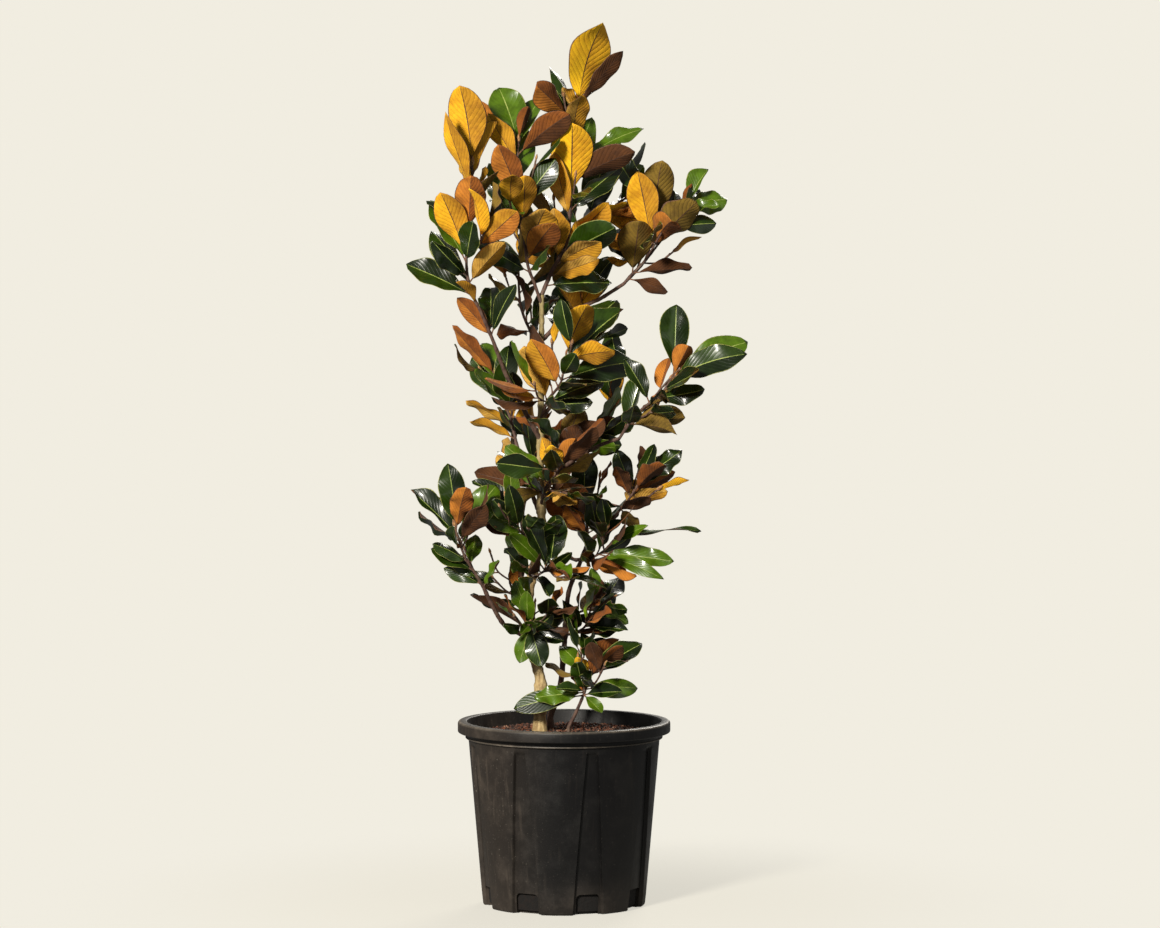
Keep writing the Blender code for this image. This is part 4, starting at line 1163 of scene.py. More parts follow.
def late_leaves(name, path):
    """More leading leaves of a shoot, which its solid has no need of."""
    chance = random.Random(name + "_late")
    spray = random.Random(name + "_late_tints")
    made = []
    for place, pixel, behind, *look in LATE_LEAVES.get(name, ()):
        base = point_on(path, place)[0]
        reach = place_seen(pixel, base.y + behind * MILLIMETRE) - base
        turn = math.atan2(reach.y, reach.x)
        rise = math.asin(reach.z / reach.length)
        made.append(wished(base, turn, rise, reach.length, chance, spray, look))
    return made


def seen_at(place):
    """The pixel of the photograph at which the camera sees a place."""
    offset = place - CAMERA_PLACE
    tilt = math.radians(CAMERA_TILT)
    ahead = offset.y * math.cos(tilt) - offset.z * math.sin(tilt)
    up = offset.y * math.sin(tilt) + offset.z * math.cos(tilt)
    across = PHOTO_SIZE[0] / 2 + PHOTO_FOCAL * offset.x / ahead
    return across, PHOTO_SIZE[1] / 2 - PHOTO_FOCAL * up / ahead


def in_gap(base, along, length):
    """Whether a leaf would close a gap where the sky shows, or hide a leading leaf."""
    for share in GAP_SHARES:
        seen = seen_at(base + along * length * share)
        for middle, radius in SKY_GAPS + SHOWN_PLACES:
            if math.dist(seen, middle) < radius:
                return True
    return False


def settled_leaf(name, wish, placed, obstacles):
    """A leaf that stays clear of every limb and of every other leaf, or None."""
    for attempt in range(LEAF_TURN_TRIES):
        nudge = math.radians(LEAF_TURN_NUDGE) * ((attempt + 1) // 2) * (-1) ** attempt
        along, face = leaf_frame(wish.turn + nudge, wish.rise, wish.roll, wish.shown)
        tip = wish.base + along * wish.length
        reach = math.hypot(tip.x - CROWN_MIDDLE[0], tip.y - CROWN_MIDDLE[1])
        if not in_box(tip):
            continue
        if wish.ruled:
            if reach > CROWN_RADIUS or tip.z < CROWN_LOWEST:
                continue
            if in_gap(wish.base, along, wish.length):
                continue
        tints = (wish.upper_tint, wish.under_tint)
        leaf = Leaf(wish.base, along, face, wish.length, wish.width, *tints)
        if has_room(name, leaf, placed, obstacles):
            return leaf._replace(width=wish.blade_width)
    return None


def turned_over(leaf, chance):
    """A leaf by rule, turned over on its stalk or left as it is."""
    share = TURNED_HIGH if leaf.base.z > TURNED_HEIGHT else TURNED_LOW
    return leaf._replace(face=-leaf.face) if chance.random() < share else leaf


def side_shoots(name, shoot, path):
    """The finer twigs of a shoot, each a shoot of its own with a few leaves."""
    chance = random.Random(name + "_side_twigs")
    twigs = {}
    for index in range(SIDE_TWIGS):
        place = SIDE_TWIG_FIRST + index * SIDE_TWIG_STEP
        if place > 1.0:
            break
        start, direction = point_on(path, place)
        turn = math.radians(shoot.turn + SIDE_TWIG_TURN + index * LEAF_TURN_STEP)
        outward = Vector((math.cos(turn), math.sin(turn), 0.0))
        outward = (outward - direction * outward.dot(direction)).normalized()
        spread = math.radians(SIDE_TWIG_SPREAD)
        reach = SIDE_TWIG_LENGTH * chance.uniform(SIDE_TWIG_LEAST, SIDE_TWIG_MOST)
        along = direction * math.cos(spread) + outward * math.sin(spread)
        middle = start + along * reach * 0.5
        end = start + along * reach * SIDE_TWIG_OUT + direction * reach * SIDE_TWIG_ON
        end.z += reach * SIDE_TWIG_RISE
        reached = math.hypot(end.x - CROWN_MIDDLE[0], end.y - CROWN_MIDDLE[1])
        if reached > CROWN_RADIUS - SIDE_TWIG_LENGTH or end.z < CROWN_LOWEST:
            continue
        twigs["%s_side_%d" % (name, index)] = Shoot(
            (tuple(start), tuple(middle), tuple(end)),
            SIDE_TWIG_RADIUS,
            shoot.length * SIDE_LEAF_SHARE,
            chance.uniform(0, 360),
            SIDE_TWIG_LEAVES,
        )
    return twigs


# Finished blades

class Bend(NamedTuple):
    """How one blade is shaped: its fold, twist, tip curl, wavy margin, sway and lean."""

    fold: float
    twist: float
    curl: float
    wave: float
    waves: float
    phase: float
    sway: float
    lean: float


def bend_of(chance):
    """A seeded bend for one blade."""
    return Bend(
        math.radians(chance.uniform(FOLD_LEAST, FOLD_MOST)),
        math.radians(chance.uniform(-TWIST, TWIST)),
        chance.uniform(TIP_CURL_LEAST, TIP_CURL_MOST),
        chance.uniform(WAVE_LEAST, WAVE_MOST),
        chance.uniform(WAVES_LEAST, WAVES_MOST),
        chance.uniform(0, math.tau),
        chance.uniform(-SWAY, SWAY),
        chance.uniform(OUTLINE_LEAN_LEAST, OUTLINE_LEAN_MOST),
    )


def blade_outline(share, lean):
    """The half width of a blade, as a share of its widest, at a share of its length."""
    full = math.sin(math.pi * share**lean) ** OUTLINE_FULLNESS
    drip = max(0.0, (share - (1 - DRIP_POINT)) / DRIP_POINT)
    return max(full * (1 - DRIP_NARROWING * drip), OUTLINE_LEAST)


def blade_points(leaf, bend, flat):
    """The rings of points of a finished blade, and its tip."""
    side = leaf.along.cross(leaf.face)
    half_width = leaf.width / 2
    rings = []
    uppers = len(BLADE_COLUMNS)
    for station in range(BLADE_STATIONS):
        share = (station / BLADE_STATIONS) ** STATION_EASE
        at = BLADE_FROM + (1 - BLADE_FROM) * share
        bow = LEAF_BOW * 4 * at * (1 - at) + bend.curl * flat * share**3
        middle = leaf.base + leaf.along * leaf.length * at + leaf.face * leaf.length * bow
        middle += side * leaf.length * bend.sway * share * (1 - share)
        turn = bend.twist * flat * share
        across = side * math.cos(turn) + leaf.face * math.sin(turn)
        up = leaf.face * math.cos(turn) - side * math.sin(turn)
        wide = half_width * blade_outline(max(share, OUTLINE_FROM), bend.lean)
        fade = min(1.0, wide * WAVE_FADE / half_width)
        fold = bend.fold * flat
        upper = []
        for column in BLADE_COLUMNS:
            edge = abs(column) ** WAVE_EDGE_POWER
            lift = abs(column) * wide * math.sin(fold)
            hand = 1 if column > 0 else -1
            beat = math.sin(bend.waves * math.tau * share + bend.phase + hand)
            lift += beat * bend.wave * flat * leaf.length * edge / 2 * fade
            reach = column * wide * math.cos(fold)
            sink = RIB_SINK if abs(column) < RIB_HALF else 0.0
            upper.append(middle + across * reach + up * (lift - sink))
        under = []
        for index in range(uppers - 2, 0, -1):
            on_rib = abs(BLADE_COLUMNS[index]) < RIB_HALF
            rib = RIB_RISE * (1 - RIB_TAPER * share) if on_rib else 0.0
            under.append(upper[index] - up * (BLADE_THICKNESS + rib))
        rings.append(upper + under)
    bow = bend.curl * flat
    tip = leaf.base + leaf.along * leaf.length + leaf.face * leaf.length * bow
    return rings, tip


def blade_materials(leaf):
    """The finish of each strip of faces round a blade, paler on its half towards the key light,
    with painted shade on the other half.
    """
    green, felt = leaf.upper_tint, leaf.under_tint
    left = SHADE_TINT[green], SHADE_TINT[felt]
    right = green, felt
    # The half towards -X, where the key light falls, keeps the leaf's tints; the other half takes
    # the darker tints as painted shade
    if leaf.along.cross(leaf.face).x > 0:
        left, right = right, left
    upper = ["upper_" + left[0]] * 2 + ["upper_rib"] + ["upper_" + right[0]] * 2
    under = ["under_" + right[1]] * 2 + ["under_rib"] + ["under_" + left[1]] * 2
    return ["upper_margin", *upper, "upper_margin", "under_margin", *under, "under_margin"]


def blade_mesh(leaf, bend, flat):
    """Points, triangles and uses of finishes of one closed blade."""
    rings, tip = blade_points(leaf, bend, flat)
    finishes = blade_materials(leaf)
    around = len(rings[0])
    uppers = len(BLADE_COLUMNS) - 1
    points = [point for ring in rings for point in ring] + [tip]
    faces = [tuple(range(around))]
    used = ["under_rib"]
    uvs = [[(0.5, 0.0)] * around]
    columns = [*BLADE_COLUMNS, *reversed(BLADE_COLUMNS[1:-1]), BLADE_COLUMNS[0]]
    columns = [(column + 1) / 2 for column in columns]
    for ring in range(len(rings) - 1):
        low = ring / len(rings)
        high = (ring + 1) / len(rings)
        start = ring * around
        for corner in range(around):
            after = (corner + 1) % around
            left, right = columns[corner], columns[corner + 1]
            quad = (
                (start + corner, (left, low)),
                (start + around + corner, (left, high)),
                (start + around + after, (right, high)),
                (start + after, (right, low)),
            )
            splits = ((0, 1, 2), (0, 2, 3)) if corner < uppers else ((0, 1, 3), (1, 2, 3))
            for split in splits:
                faces.append(tuple(quad[index][0] for index in split))
                uvs.append([quad[index][1] for index in split])
                used.append(finishes[corner])
    start = (len(rings) - 1) * around
    for corner in range(around):
        after = (corner + 1) % around
        faces.append((start + corner, len(points) - 1, start + after))
        used.append(finishes[corner])
        uvs.append([(columns[corner], high), (0.5, 1.0), (columns[corner + 1], high)])
    return points, faces, used, uvs


def swung(leaf, swing, lift):
    """A leaf swung in its own plane and lifted out of it, by angles in degrees."""
    side = leaf.along.cross(leaf.face)
    turned = Quaternion(side, math.radians(lift)) @ Quaternion(leaf.face, math.radians(swing))
    return leaf._replace(along=turned @ leaf.along, face=turned @ leaf.face)


def touches(tree, settled, obstacles):
    """Whether a blade touches a settled blade, or a limb or twig."""
    if any(tree.overlap(other) for other in settled):
        return True
    return any(tree.overlap(other) for _, other in obstacles)


def settled_blade(name, leaf, settled, obstacles):
    """A leaf and its blade, bent, swung or narrowed until it touches nothing, or None."""
    chance = random.Random("%s %.5f %.5f" % (name, leaf.base.z, leaf.along.x))
    bend = bend_of(chance)
    for share in NARROWER_TRIES:
        for angles in SWING_TRIES:
            tried = swung(leaf._replace(width=leaf.width * share), *angles)
            if any(angles) and not in_box(tried.base + tried.along * tried.length):
                continue
            for flat in FLATTER_TRIES:
                blade = blade_mesh(tried, bend, flat)
                tree = BVHTree.FromPolygons(blade[0], blade[1])
                if not touches(tree, settled, obstacles):
                    settled.append(tree)
                    return tried, blade
    return None


def settled_blades(leaves, obstacles):
    """The leaves and the blades of each shoot that find their room, leading ones first."""
    settled = []
    blades = {name: [] for name in leaves}
    kept = []
    most = max(len(some) for some in leaves.values())
    for number in range(most):
        for name, some in leaves.items():
            if number >= len(some):
                continue
            made = settled_blade(name, some[number], settled, obstacles)
            if made:
                kept.append(made[0])
                blades[name].append(made[1])
    return blades, kept


# Meshes and Geometry Nodes

def mesh_object(name, points, faces):
    """A new object in the scene, made from points and faces."""
    mesh = bpy.data.meshes.new(name)
    mesh.from_pydata(points, [], faces)
    mesh.update()
    made = bpy.data.objects.new(name, mesh)
    bpy.context.scene.collection.objects.link(made)
    return made


def set_up(piece, slot, *nodes):
    """Puts a finished piece on the body and hides the nodes that it stands for.  The slot is not
    used.
    """
    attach(piece, BODY)
    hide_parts(*nodes)
    return piece


class Grower:
    """A Geometry Nodes tree with named inputs, added node by node."""

    def __init__(self, name, inputs):
        self.tree = bpy.data.node_groups.new(name, "GeometryNodeTree")
        face = self.tree.interface
        face.new_socket("Geometry", in_out="INPUT", socket_type="NodeSocketGeometry")
        face.new_socket("Geometry", in_out="OUTPUT", socket_type="NodeSocketGeometry")
        self.names = {}
        for label, kind in inputs.items():
            socket = face.new_socket(label, in_out="INPUT", socket_type="NodeSocket" + kind)
            self.names[label] = socket.identifier
        self.source = self.tree.nodes.new("NodeGroupInput")
        self.sink = self.tree.nodes.new("NodeGroupOutput")

    def entry(self, label):
        """The socket of one named input."""
        return self.source.outputs[label]

    def add(self, kind, settings=None, inputs=None):
        """A node with its settings, and the values or links of its sockets."""
        made = self.tree.nodes.new(kind)
        for key, value in (settings or {}).items():
            setattr(made, key, value)
        for key, value in (inputs or {}).items():
            if isinstance(value, bpy.types.NodeSocket):
                self.tree.links.new(value, made.inputs[key])
            else:
                made.inputs[key].default_value = value
        return made

    def end(self, geometry, material):
        """Realizes the instances, sets the material and ends the tree."""
        real = self.add("GeometryNodeRealizeInstances", inputs={"Geometry": geometry})
        inputs = {"Geometry": real.outputs[0], "Material": material}
        dressed = self.add("GeometryNodeSetMaterial", inputs=inputs)
        self.tree.links.new(dressed.outputs[0], self.sink.inputs[0])

    def grow(self, name, source, values):
        """The plain mesh that the tree makes from a source object."""
        modifier = source.modifiers.new("grower", "NODES")
        modifier.node_group = self.tree
        for label, value in values.items():
            modifier[self.names[label]] = value
        depsgraph = bpy.context.evaluated_depsgraph_get()
        mesh = bpy.data.meshes.new_from_object(source.evaluated_get(depsgraph))
        mesh.name = name
        source.modifiers.remove(modifier)
        made = bpy.data.objects.new(name, mesh)
        bpy.context.scene.collection.objects.link(made)
        bpy.data.objects.remove(source)
        return made


def bark_grower():
    """Sweeps a round section along each path, with the bark's relief on it."""
    inputs = {"Sides": "Int", "Relief": "Float", "Grain": "Float", "Material": "Material"}
    grower = Grower("bark_grower", inputs)
    round_inputs = {"Resolution": grower.entry("Sides"), "Radius": 1.0}
    section = grower.add("GeometryNodeCurvePrimitiveCircle", inputs=round_inputs)
    radius = grower.add("GeometryNodeInputRadius")
    sweep_inputs = {
        "Curve": grower.entry("Geometry"),
        "Profile Curve": section.outputs[0],
        "Scale": radius.outputs[0],
        "Fill Caps": True,
    }
    swept = grower.add("GeometryNodeCurveToMesh", inputs=sweep_inputs)
    place = grower.add("GeometryNodeInputPosition")
    noise_inputs = {"Vector": place.outputs[0], "Scale": grower.entry("Grain"), "Detail": 3.0}
    noise = grower.add("ShaderNodeTexNoise", inputs=noise_inputs)
    centred = grower.add("ShaderNodeMath", {"operation": "SUBTRACT"}, {0: noise.outputs[0], 1: 0.5})
    depth_inputs = {0: centred.outputs[0], 1: grower.entry("Relief")}
    depth = grower.add("ShaderNodeMath", {"operation": "MULTIPLY"}, depth_inputs)
    normal = grower.add("GeometryNodeInputNormal")
    scale_inputs = {0: normal.outputs[0], "Scale": depth.outputs[0]}
    push = grower.add("ShaderNodeVectorMath", {"operation": "SCALE"}, scale_inputs)
    moved_inputs = {"Geometry": swept.outputs[0], "Offset": push.outputs[0]}
    moved = grower.add("GeometryNodeSetPosition", inputs=moved_inputs)
    smooth = grower.add("GeometryNodeSetShadeSmooth", inputs={"Geometry": moved.outputs[0]})
    grower.end(smooth.outputs[0], grower.entry("Material"))
    return grower


def paths_curve(name, paths):
    """One curve object with a line for each path and its radii."""
    curve = bpy.data.curves.new(name, "CURVE")
    curve.dimensions = "3D"
    for path, radii in paths:
        spline = curve.splines.new("POLY")
        spline.points.add(len(path) - 1)
        for point, place, radius in zip(spline.points, path, radii):
            point.co = (*place, 1.0)
            point.radius = radius
    made = bpy.data.objects.new(name, curve)
    bpy.context.scene.collection.objects.link(made)
    return made


def limb_radii(path, foot_radius, tip_radius, flare=1.0, knots=(), seed=""):
    """A steady taper with a root flare, leaf-scar rings and knots."""
    chance = random.Random(seed)
    run = path_run(path)
    rings = []
    ring = NODE_SPACING * chance.uniform(*NODE_FIRST)
    while ring < run[-1]:
        rings.append((ring, NODE_SWELL * chance.uniform(*NODE_SWELL_SCATTER), NODE_REACH))
        ring += NODE_SPACING * chance.uniform(*NODE_SCATTER)
    rings += [(knot * run[-1], KNOT_SWELL, KNOT_REACH) for knot in knots]
    radii = []
    for length in run:
        share = length / run[-1]
        radius = foot_radius + (tip_radius - foot_radius) * share
        swell = 1 + (flare - 1) * max(0.0, 1 - share / FLARE_SHARE) ** FLARE_POWER
        for at, bulge, reach in rings:
            swell += bulge * math.exp(-(((length - at) / reach) ** 2))
        radii.append(radius * swell)
    return radii


# Shader maths

class Value:
    """A socket of a shader, on which Python's operators add Math nodes."""

    def __init__(self, finish, socket):
        self.finish = finish
        self.socket = socket

    def math(self, operation, first, second):
        """A Math node on two values."""
        return self.finish.add("ShaderNodeMath", {"operation": operation}, {0: first, 1: second})

    def __add__(self, other):
        return self.math("ADD", self, other)

    def __radd__(self, other):
        return self.math("ADD", other, self)

    def __sub__(self, other):
        return self.math("SUBTRACT", self, other)

    def __rsub__(self, other):
        return self.math("SUBTRACT", other, self)

    def __mul__(self, other):
        return self.math("MULTIPLY", self, other)

    def __rmul__(self, other):
        return self.math("MULTIPLY", other, self)

    def __pow__(self, other):
        return self.math("POWER", self, other)

    def absolute(self):
        """The value without its sign."""
        return self.math("ABSOLUTE", self, 0.0)

    def root(self):
        """The square root of the value."""
        return self.math("SQRT", self, 0.0)

    def sine(self):
        """The sine of the value."""
        return self.math("SINE", self, 0.0)

    def step(self, low, high):
        """A soft step from 0 at low to 1 at high."""
        inputs = {"Value": self, "From Min": low, "From Max": high}
        return self.finish.add("ShaderNodeMapRange", {"interpolation_type": "SMOOTHSTEP"}, inputs)


class Finish:
    """A Principled material, to which nodes are added one by one."""

    def __init__(self, name, constants):
        self.material = bpy.data.materials.new(name)
        self.material.use_nodes = True
        self.tree = self.material.node_tree
        self.shader = self.tree.nodes["Principled BSDF"]
        for key, value in constants.items():
            self.set(key, value)

    def feed(self, socket, value):
        """Links or sets one socket."""
        if isinstance(value, Value):
            self.tree.links.new(value.socket, socket)
        elif isinstance(value, tuple) and len(value) == 3 and socket.type == "RGBA":
            socket.default_value = (*value, 1.0)
        else:
            socket.default_value = value

    def set(self, key, value):
        """Links or sets a socket of the shader."""
        self.feed(self.shader.inputs[key], value)

    def add(self, kind, settings=None, inputs=None, output=0):
        """A node with its settings, and the values or links of its sockets."""
        made = self.tree.nodes.new(kind)
        for key, value in (settings or {}).items():
            setattr(made, key, value)
        for key, value in (inputs or {}).items():
            self.feed(made.inputs[key], value)
        return Value(self, made.outputs[output])

    def place(self):
        """Object coordinates."""
        return self.add("ShaderNodeTexCoord", output="Object")

    def axes(self):
        """Object coordinates as three values."""
        apart = self.add("ShaderNodeSeparateXYZ", inputs={0: self.place()})
        return [Value(self, socket) for socket in apart.socket.node.outputs]

    def noise(self, scale, detail=4.0, roughness=0.55, stretch=(1.0, 1.0, 1.0)):
        """Noise on Object coordinates, stretched along an axis."""
        mapped = self.add("ShaderNodeMapping", inputs={"Vector": self.place(), "Scale": stretch})
        inputs = {"Vector": mapped, "Scale": scale, "Detail": detail, "Roughness": roughness}
        return self.add("ShaderNodeTexNoise", inputs=inputs)

    def mix(self, share, low, high):
        """A colour between two."""
        made = self.tree.nodes.new("ShaderNodeMix")
        made.data_type = "RGBA"
        colours = [socket for socket in made.inputs if socket.type == "RGBA"]
        self.feed(made.inputs["Factor"], share)
        self.feed(colours[0], low)
        self.feed(colours[1], high)
        return Value(self, next(socket for socket in made.outputs if socket.type == "RGBA"))

    def bump(self, height, strength, distance):
        """Feeds the shader's normal from a height."""
        inputs = {"Height": height, "Strength": strength, "Distance": distance}
        self.set("Normal", self.add("ShaderNodeBump", inputs=inputs))


def pot_plastic():
    """Dull black moulded plastic: paler on its left side, which is painted light mixed with dust
    and scuffs, dusty at its feet, and with painted highlights on the bead and the lip's top edge.
    """
    finish = Finish("pot_plastic", {"Specular IOR Level": 0.30})
    across, depth, height = finish.axes()
    # The left side, towards the key light: this mask paints light there, along with dust patches,
    # scratches and specks
    left = (across * -1.0 - 0.12 * depth).step(0.02, 0.13)
    foot = (0.05 - height).step(-0.01, 0.05)
    patches = finish.noise(26.0, 6.0, 0.65).step(0.42, 0.72)
    scratches = finish.noise(150.0, 3.0, 0.6, (1.0, 1.0, 0.05)).step(0.56, 0.70)
    specks = finish.noise(420.0, 2.0, 0.6).step(0.66, 0.74)
    dust_and_side_light = left * (0.35 + 0.45 * patches) + foot * (0.15 + 0.3 * patches)
    dust_and_side_light = dust_and_side_light + (left + 0.25) * scratches * 0.28
    black = finish.mix(patches, *POT_BLACKS)
    dusty_and_lit = finish.mix(dust_and_side_light, black, POT_DUST_AND_LIGHT)
    out = (across * across + depth * depth).root()
    # Painted highlights: a pale line along the bead and along the lip's rounded top edge
    bead = 1 - (height - BEAD_HEIGHT).absolute().step(0.5 * BEAD_HALF, BEAD_HALF)
    bead_highlight = bead * (out - BODY_TOP_RADIUS).step(0.0, BEAD_HALF)
    lip = (height - POT_HEIGHT + RIM_TOP_ROUNDING).step(0.0, RIM_TOP_ROUNDING)
    lip_highlight = lip * (out - RIM_RADIUS + RIM_TOP_ROUNDING).step(-0.001, 0.001)
    wear_and_highlight = (bead_highlight * 0.8 + lip_highlight) * (0.35 + 0.5 * patches + 0.3 * scratches)
    edge_highlighted = finish.mix(wear_and_highlight, dusty_and_lit, POT_HIGHLIGHT)
    finish.set("Base Color", finish.mix(specks * (0.10 + left * 0.35), edge_highlighted, POT_SPECK))
    finish.set("Roughness", 0.40 + 0.18 * patches + 0.3 * dust_and_side_light)
    grain = finish.noise(900.0, 2.0, 0.5) + 0.6 * finish.noise(60.0, 3.0, 0.5)
    finish.bump(grain, 0.25, 0.0006)
    return finish.material


def compost():
    """Dark brown compost between the chips of bark, with painted shade making it near black below
    the top of the drain notches.
    """
    finish = Finish("compost", {"Roughness": 0.95})
    lumps = finish.noise(160.0, 5.0, 0.65)
    damp = finish.noise(30.0, 3.0, 0.5).step(0.4, 0.65)
    brown = finish.mix(lumps.step(0.35, 0.7), *COMPOST_BROWNS)
    # Painted shade: the compost seen through the drain notches is darkened to near black
    low = (NOTCH_HEIGHT + NOTCH_ROUNDING - finish.axes()[2]).step(0.0, NOTCH_ROUNDING)
    wet = finish.mix(damp * 0.5, brown, COMPOST_DAMP)
    finish.set("Base Color", finish.mix(low * 0.93, wet, COMPOST_SHADED))
    finish.bump(lumps, 0.9, 0.002)
    return finish.material


def chip_bark(name, dark, light):
    """Bark mulch: fibrous chips between two browns."""
    finish = Finish(name, {"Roughness": 0.88})
    tone = finish.noise(130.0, 2.0, 0.5)
    fibre = finish.noise(700.0, 3.0, 0.6, (1.0, 1.0, 0.3))
    shade = (0.7 * tone + 0.3 * fibre).step(0.36, 0.64)
    finish.set("Base Color", finish.mix(shade, dark, light))
    finish.bump(fibre, 0.6, 0.0005)
    return finish.material


def old_bark():
    """The tan bark of the trunk: streaks, pale pores, and greener towards its top."""
    finish = Finish("old_bark", {"Specular IOR Level": 0.3})
    height = finish.axes()[2]
    streaks = finish.noise(210.0, 4.0, 0.6, (1.0, 1.0, 0.22))
    blotches = finish.noise(46.0, 4.0, 0.6)
    pores = finish.noise(620.0, 1.0, 0.5, (1.0, 1.0, 0.5)).step(0.66, 0.74)
    tan = finish.mix(streaks.step(0.32, 0.7), *OLD_BARK_TANS)
    wear_and_highlight = finish.mix(blotches.step(0.52, 0.72) * 0.7, tan, OLD_BARK_WORN)
    green = finish.mix(height.step(0.34, 0.72) * 0.55, wear_and_highlight, OLD_BARK_GREEN)
    finish.set("Base Color", finish.mix(pores * 0.6, green, OLD_BARK_PORE))
    finish.set("Roughness", 0.62 + 0.25 * streaks)
    finish.bump(streaks + 0.5 * blotches + 0.4 * pores, 0.55, 0.0012)
    return finish.material


def young_bark():
    """The dark purple-brown bark of boughs and twigs, with a pale bloom and pores."""
    finish = Finish("young_bark", {"Specular IOR Level": 0.35})
    streaks = finish.noise(330.0, 4.0, 0.6, (1.0, 1.0, 0.3))
    bloom = finish.noise(55.0, 3.0, 0.6).step(0.45, 0.7)
    pores = finish.noise(800.0, 1.0, 0.5).step(0.68, 0.75)
    brown = finish.mix(streaks.step(0.3, 0.7), *YOUNG_BARK_BROWNS)
    hazy = finish.mix(bloom * 0.45, brown, YOUNG_BARK_BLOOM)
    finish.set("Base Color", finish.mix(pores * 0.6, hazy, YOUNG_BARK_PORE))
    finish.set("Roughness", 0.50 + 0.3 * streaks)
    finish.bump(streaks + 0.5 * pores, 0.5, 0.0006)
    return finish.material


def felted_stalk(name, dark, light):
    """Rusty felt on petioles and buds."""
    finish = Finish(name, {"Roughness": 0.9, "Sheen Weight": 0.35})
    felt = finish.noise(520.0, 4.0, 0.6)
    finish.set("Base Color", finish.mix(felt.step(0.3, 0.7), dark, light))
    finish.bump(felt, 0.5, 0.0004)
    return finish.material


def leaf_veins(finish):
    """Height of the side veins, which run out and forward from the midrib."""
    uv = finish.add("ShaderNodeTexCoord", output="UV")
    apart = finish.add("ShaderNodeSeparateXYZ", inputs={0: uv})
    across, along, _ = [Value(finish, socket) for socket in apart.socket.node.outputs]
    out = (across - 0.5).absolute()
    wave = ((along * VEIN_PAIRS - out * VEIN_SLANT) * math.pi).sine()
    return wave.absolute() ** VEIN_BREADTH


def upper_side(name, colour):
    """The glossy green upper side of a leaf, with faint side veins."""
    finish = Finish(name, {"Specular IOR Level": 0.35, "Coat Roughness": 0.12})
    veins = leaf_veins(finish)
    cloud = finish.noise(75.0, 4.0, 0.6)
    pale = tuple(min(1.0, 0.018 + channel * 1.55) for channel in colour)
    deep = tuple(channel * 0.62 for channel in colour)
    green = finish.mix(cloud.step(0.35, 0.68), deep, colour)
    finish.set("Base Color", finish.mix((1 - veins) * 0.16, green, pale))
    finish.set("Roughness", 0.24 + 0.16 * cloud)
    finish.set("Coat Weight", 0.25)
    finish.bump(veins + 0.8 * cloud, 0.25, 0.0008)
    return finish.material


def under_side(name, colour, darker):
    """The felted underside of a leaf, mottled between two tones, with raised veins."""
    finish = Finish(name, {"Roughness": 0.82, "Sheen Weight": 0.03, "Specular IOR Level": 0.2})
    veins = leaf_veins(finish)
    pale = tuple(min(1.0, 0.01 + channel * 1.4) for channel in colour)
    mottle = 0.55 * finish.noise(95.0, 5.0, 0.62) + 0.45 * finish.noise(32.0, 3.0, 0.6)
    felt = finish.noise(1100.0, 2.0, 0.5)
    tone = finish.mix(mottle.step(0.38, 0.66) * 0.85, colour, darker)
    lined = finish.mix((1 - veins) * 0.40, tone, darker)
    finish.set("Base Color", finish.mix(felt.step(0.5, 0.75) * 0.35, lined, pale))
    finish.bump((1 - veins) + 0.35 * felt + 0.8 * mottle, 0.6, 0.0010)
    return finish.material


def rib_finish(name, dark, light, roughness):
    """The midrib or the margin of a leaf, between two close tones."""
    finish = Finish(name, {"Roughness": roughness})
    tone = finish.noise(240.0, 3.0, 0.6)
    finish.set("Base Color", finish.mix(tone.step(0.35, 0.65), dark, light))
    return finish.material


def leaf_finishes():
    """All the finishes of the leaves by name."""
    made = {}
    for tint, colour in UPPER_COLOURS.items():
        made["upper_" + tint] = upper_side("upper_" + tint, colour)
    for tint, (colour, darker) in UNDER_COLOURS.items():
        made["under_" + tint] = under_side("under_" + tint, colour, darker)
    for name, looks in RIB_FINISHES.items():
        made[name] = rib_finish(name, *looks)
    return made


# The crown

CROWN_PARTS = {
    "leaves_top": ("leader", "tuft_back_top"),
    "leaves_left": ("tuft_left_inner", "tuft_left_high", "tuft_left_middle"),
    "leaves_right": ("tuft_right_high", "tuft_right_far", "tuft_right_middle", "tuft_right_low"),
    "leaves_front": ("tuft_front", "tuft_front_high", "tuft_left_front", "tuft_trunk_middle"),
    "leaves_back": (
        "tuft_back_low", "tuft_back_middle", "tuft_back_high",
        "tuft_back_right", "tuft_back_foot",
    ),
    "leaves_low": (
        "tuft_left_low", "tuft_trunk_low", "tuft_rear_top", "tuft_rear_right",
        "tuft_rear_middle", "tuft_rear_low", "tuft_low",
    ),
}


def plain_tube(path, radii, sides=4):
    """A search tree over a plain tube along a path."""
    points = []
    for index, (place, radius) in enumerate(zip(path, radii)):
        ahead = path[min(index + 1, len(path) - 1)] - path[max(index - 1, 0)]
        turned = ahead.to_track_quat("Z", "Y")
        for corner in range(sides):
            turn = math.tau * corner / sides
            spoke = Vector((math.cos(turn), math.sin(turn), 0.0)) * radius
            points.append(place + turned @ spoke)
    return BVHTree.FromPolygons(points, bands(len(path), sides))


def tree_of(item):
    """A search tree over a model solid's faces."""
    points = [vertex.co for vertex in item.data.vertices]
    faces = [tuple(face.vertices) for face in item.data.polygons]
    return BVHTree.FromPolygons(points, faces)


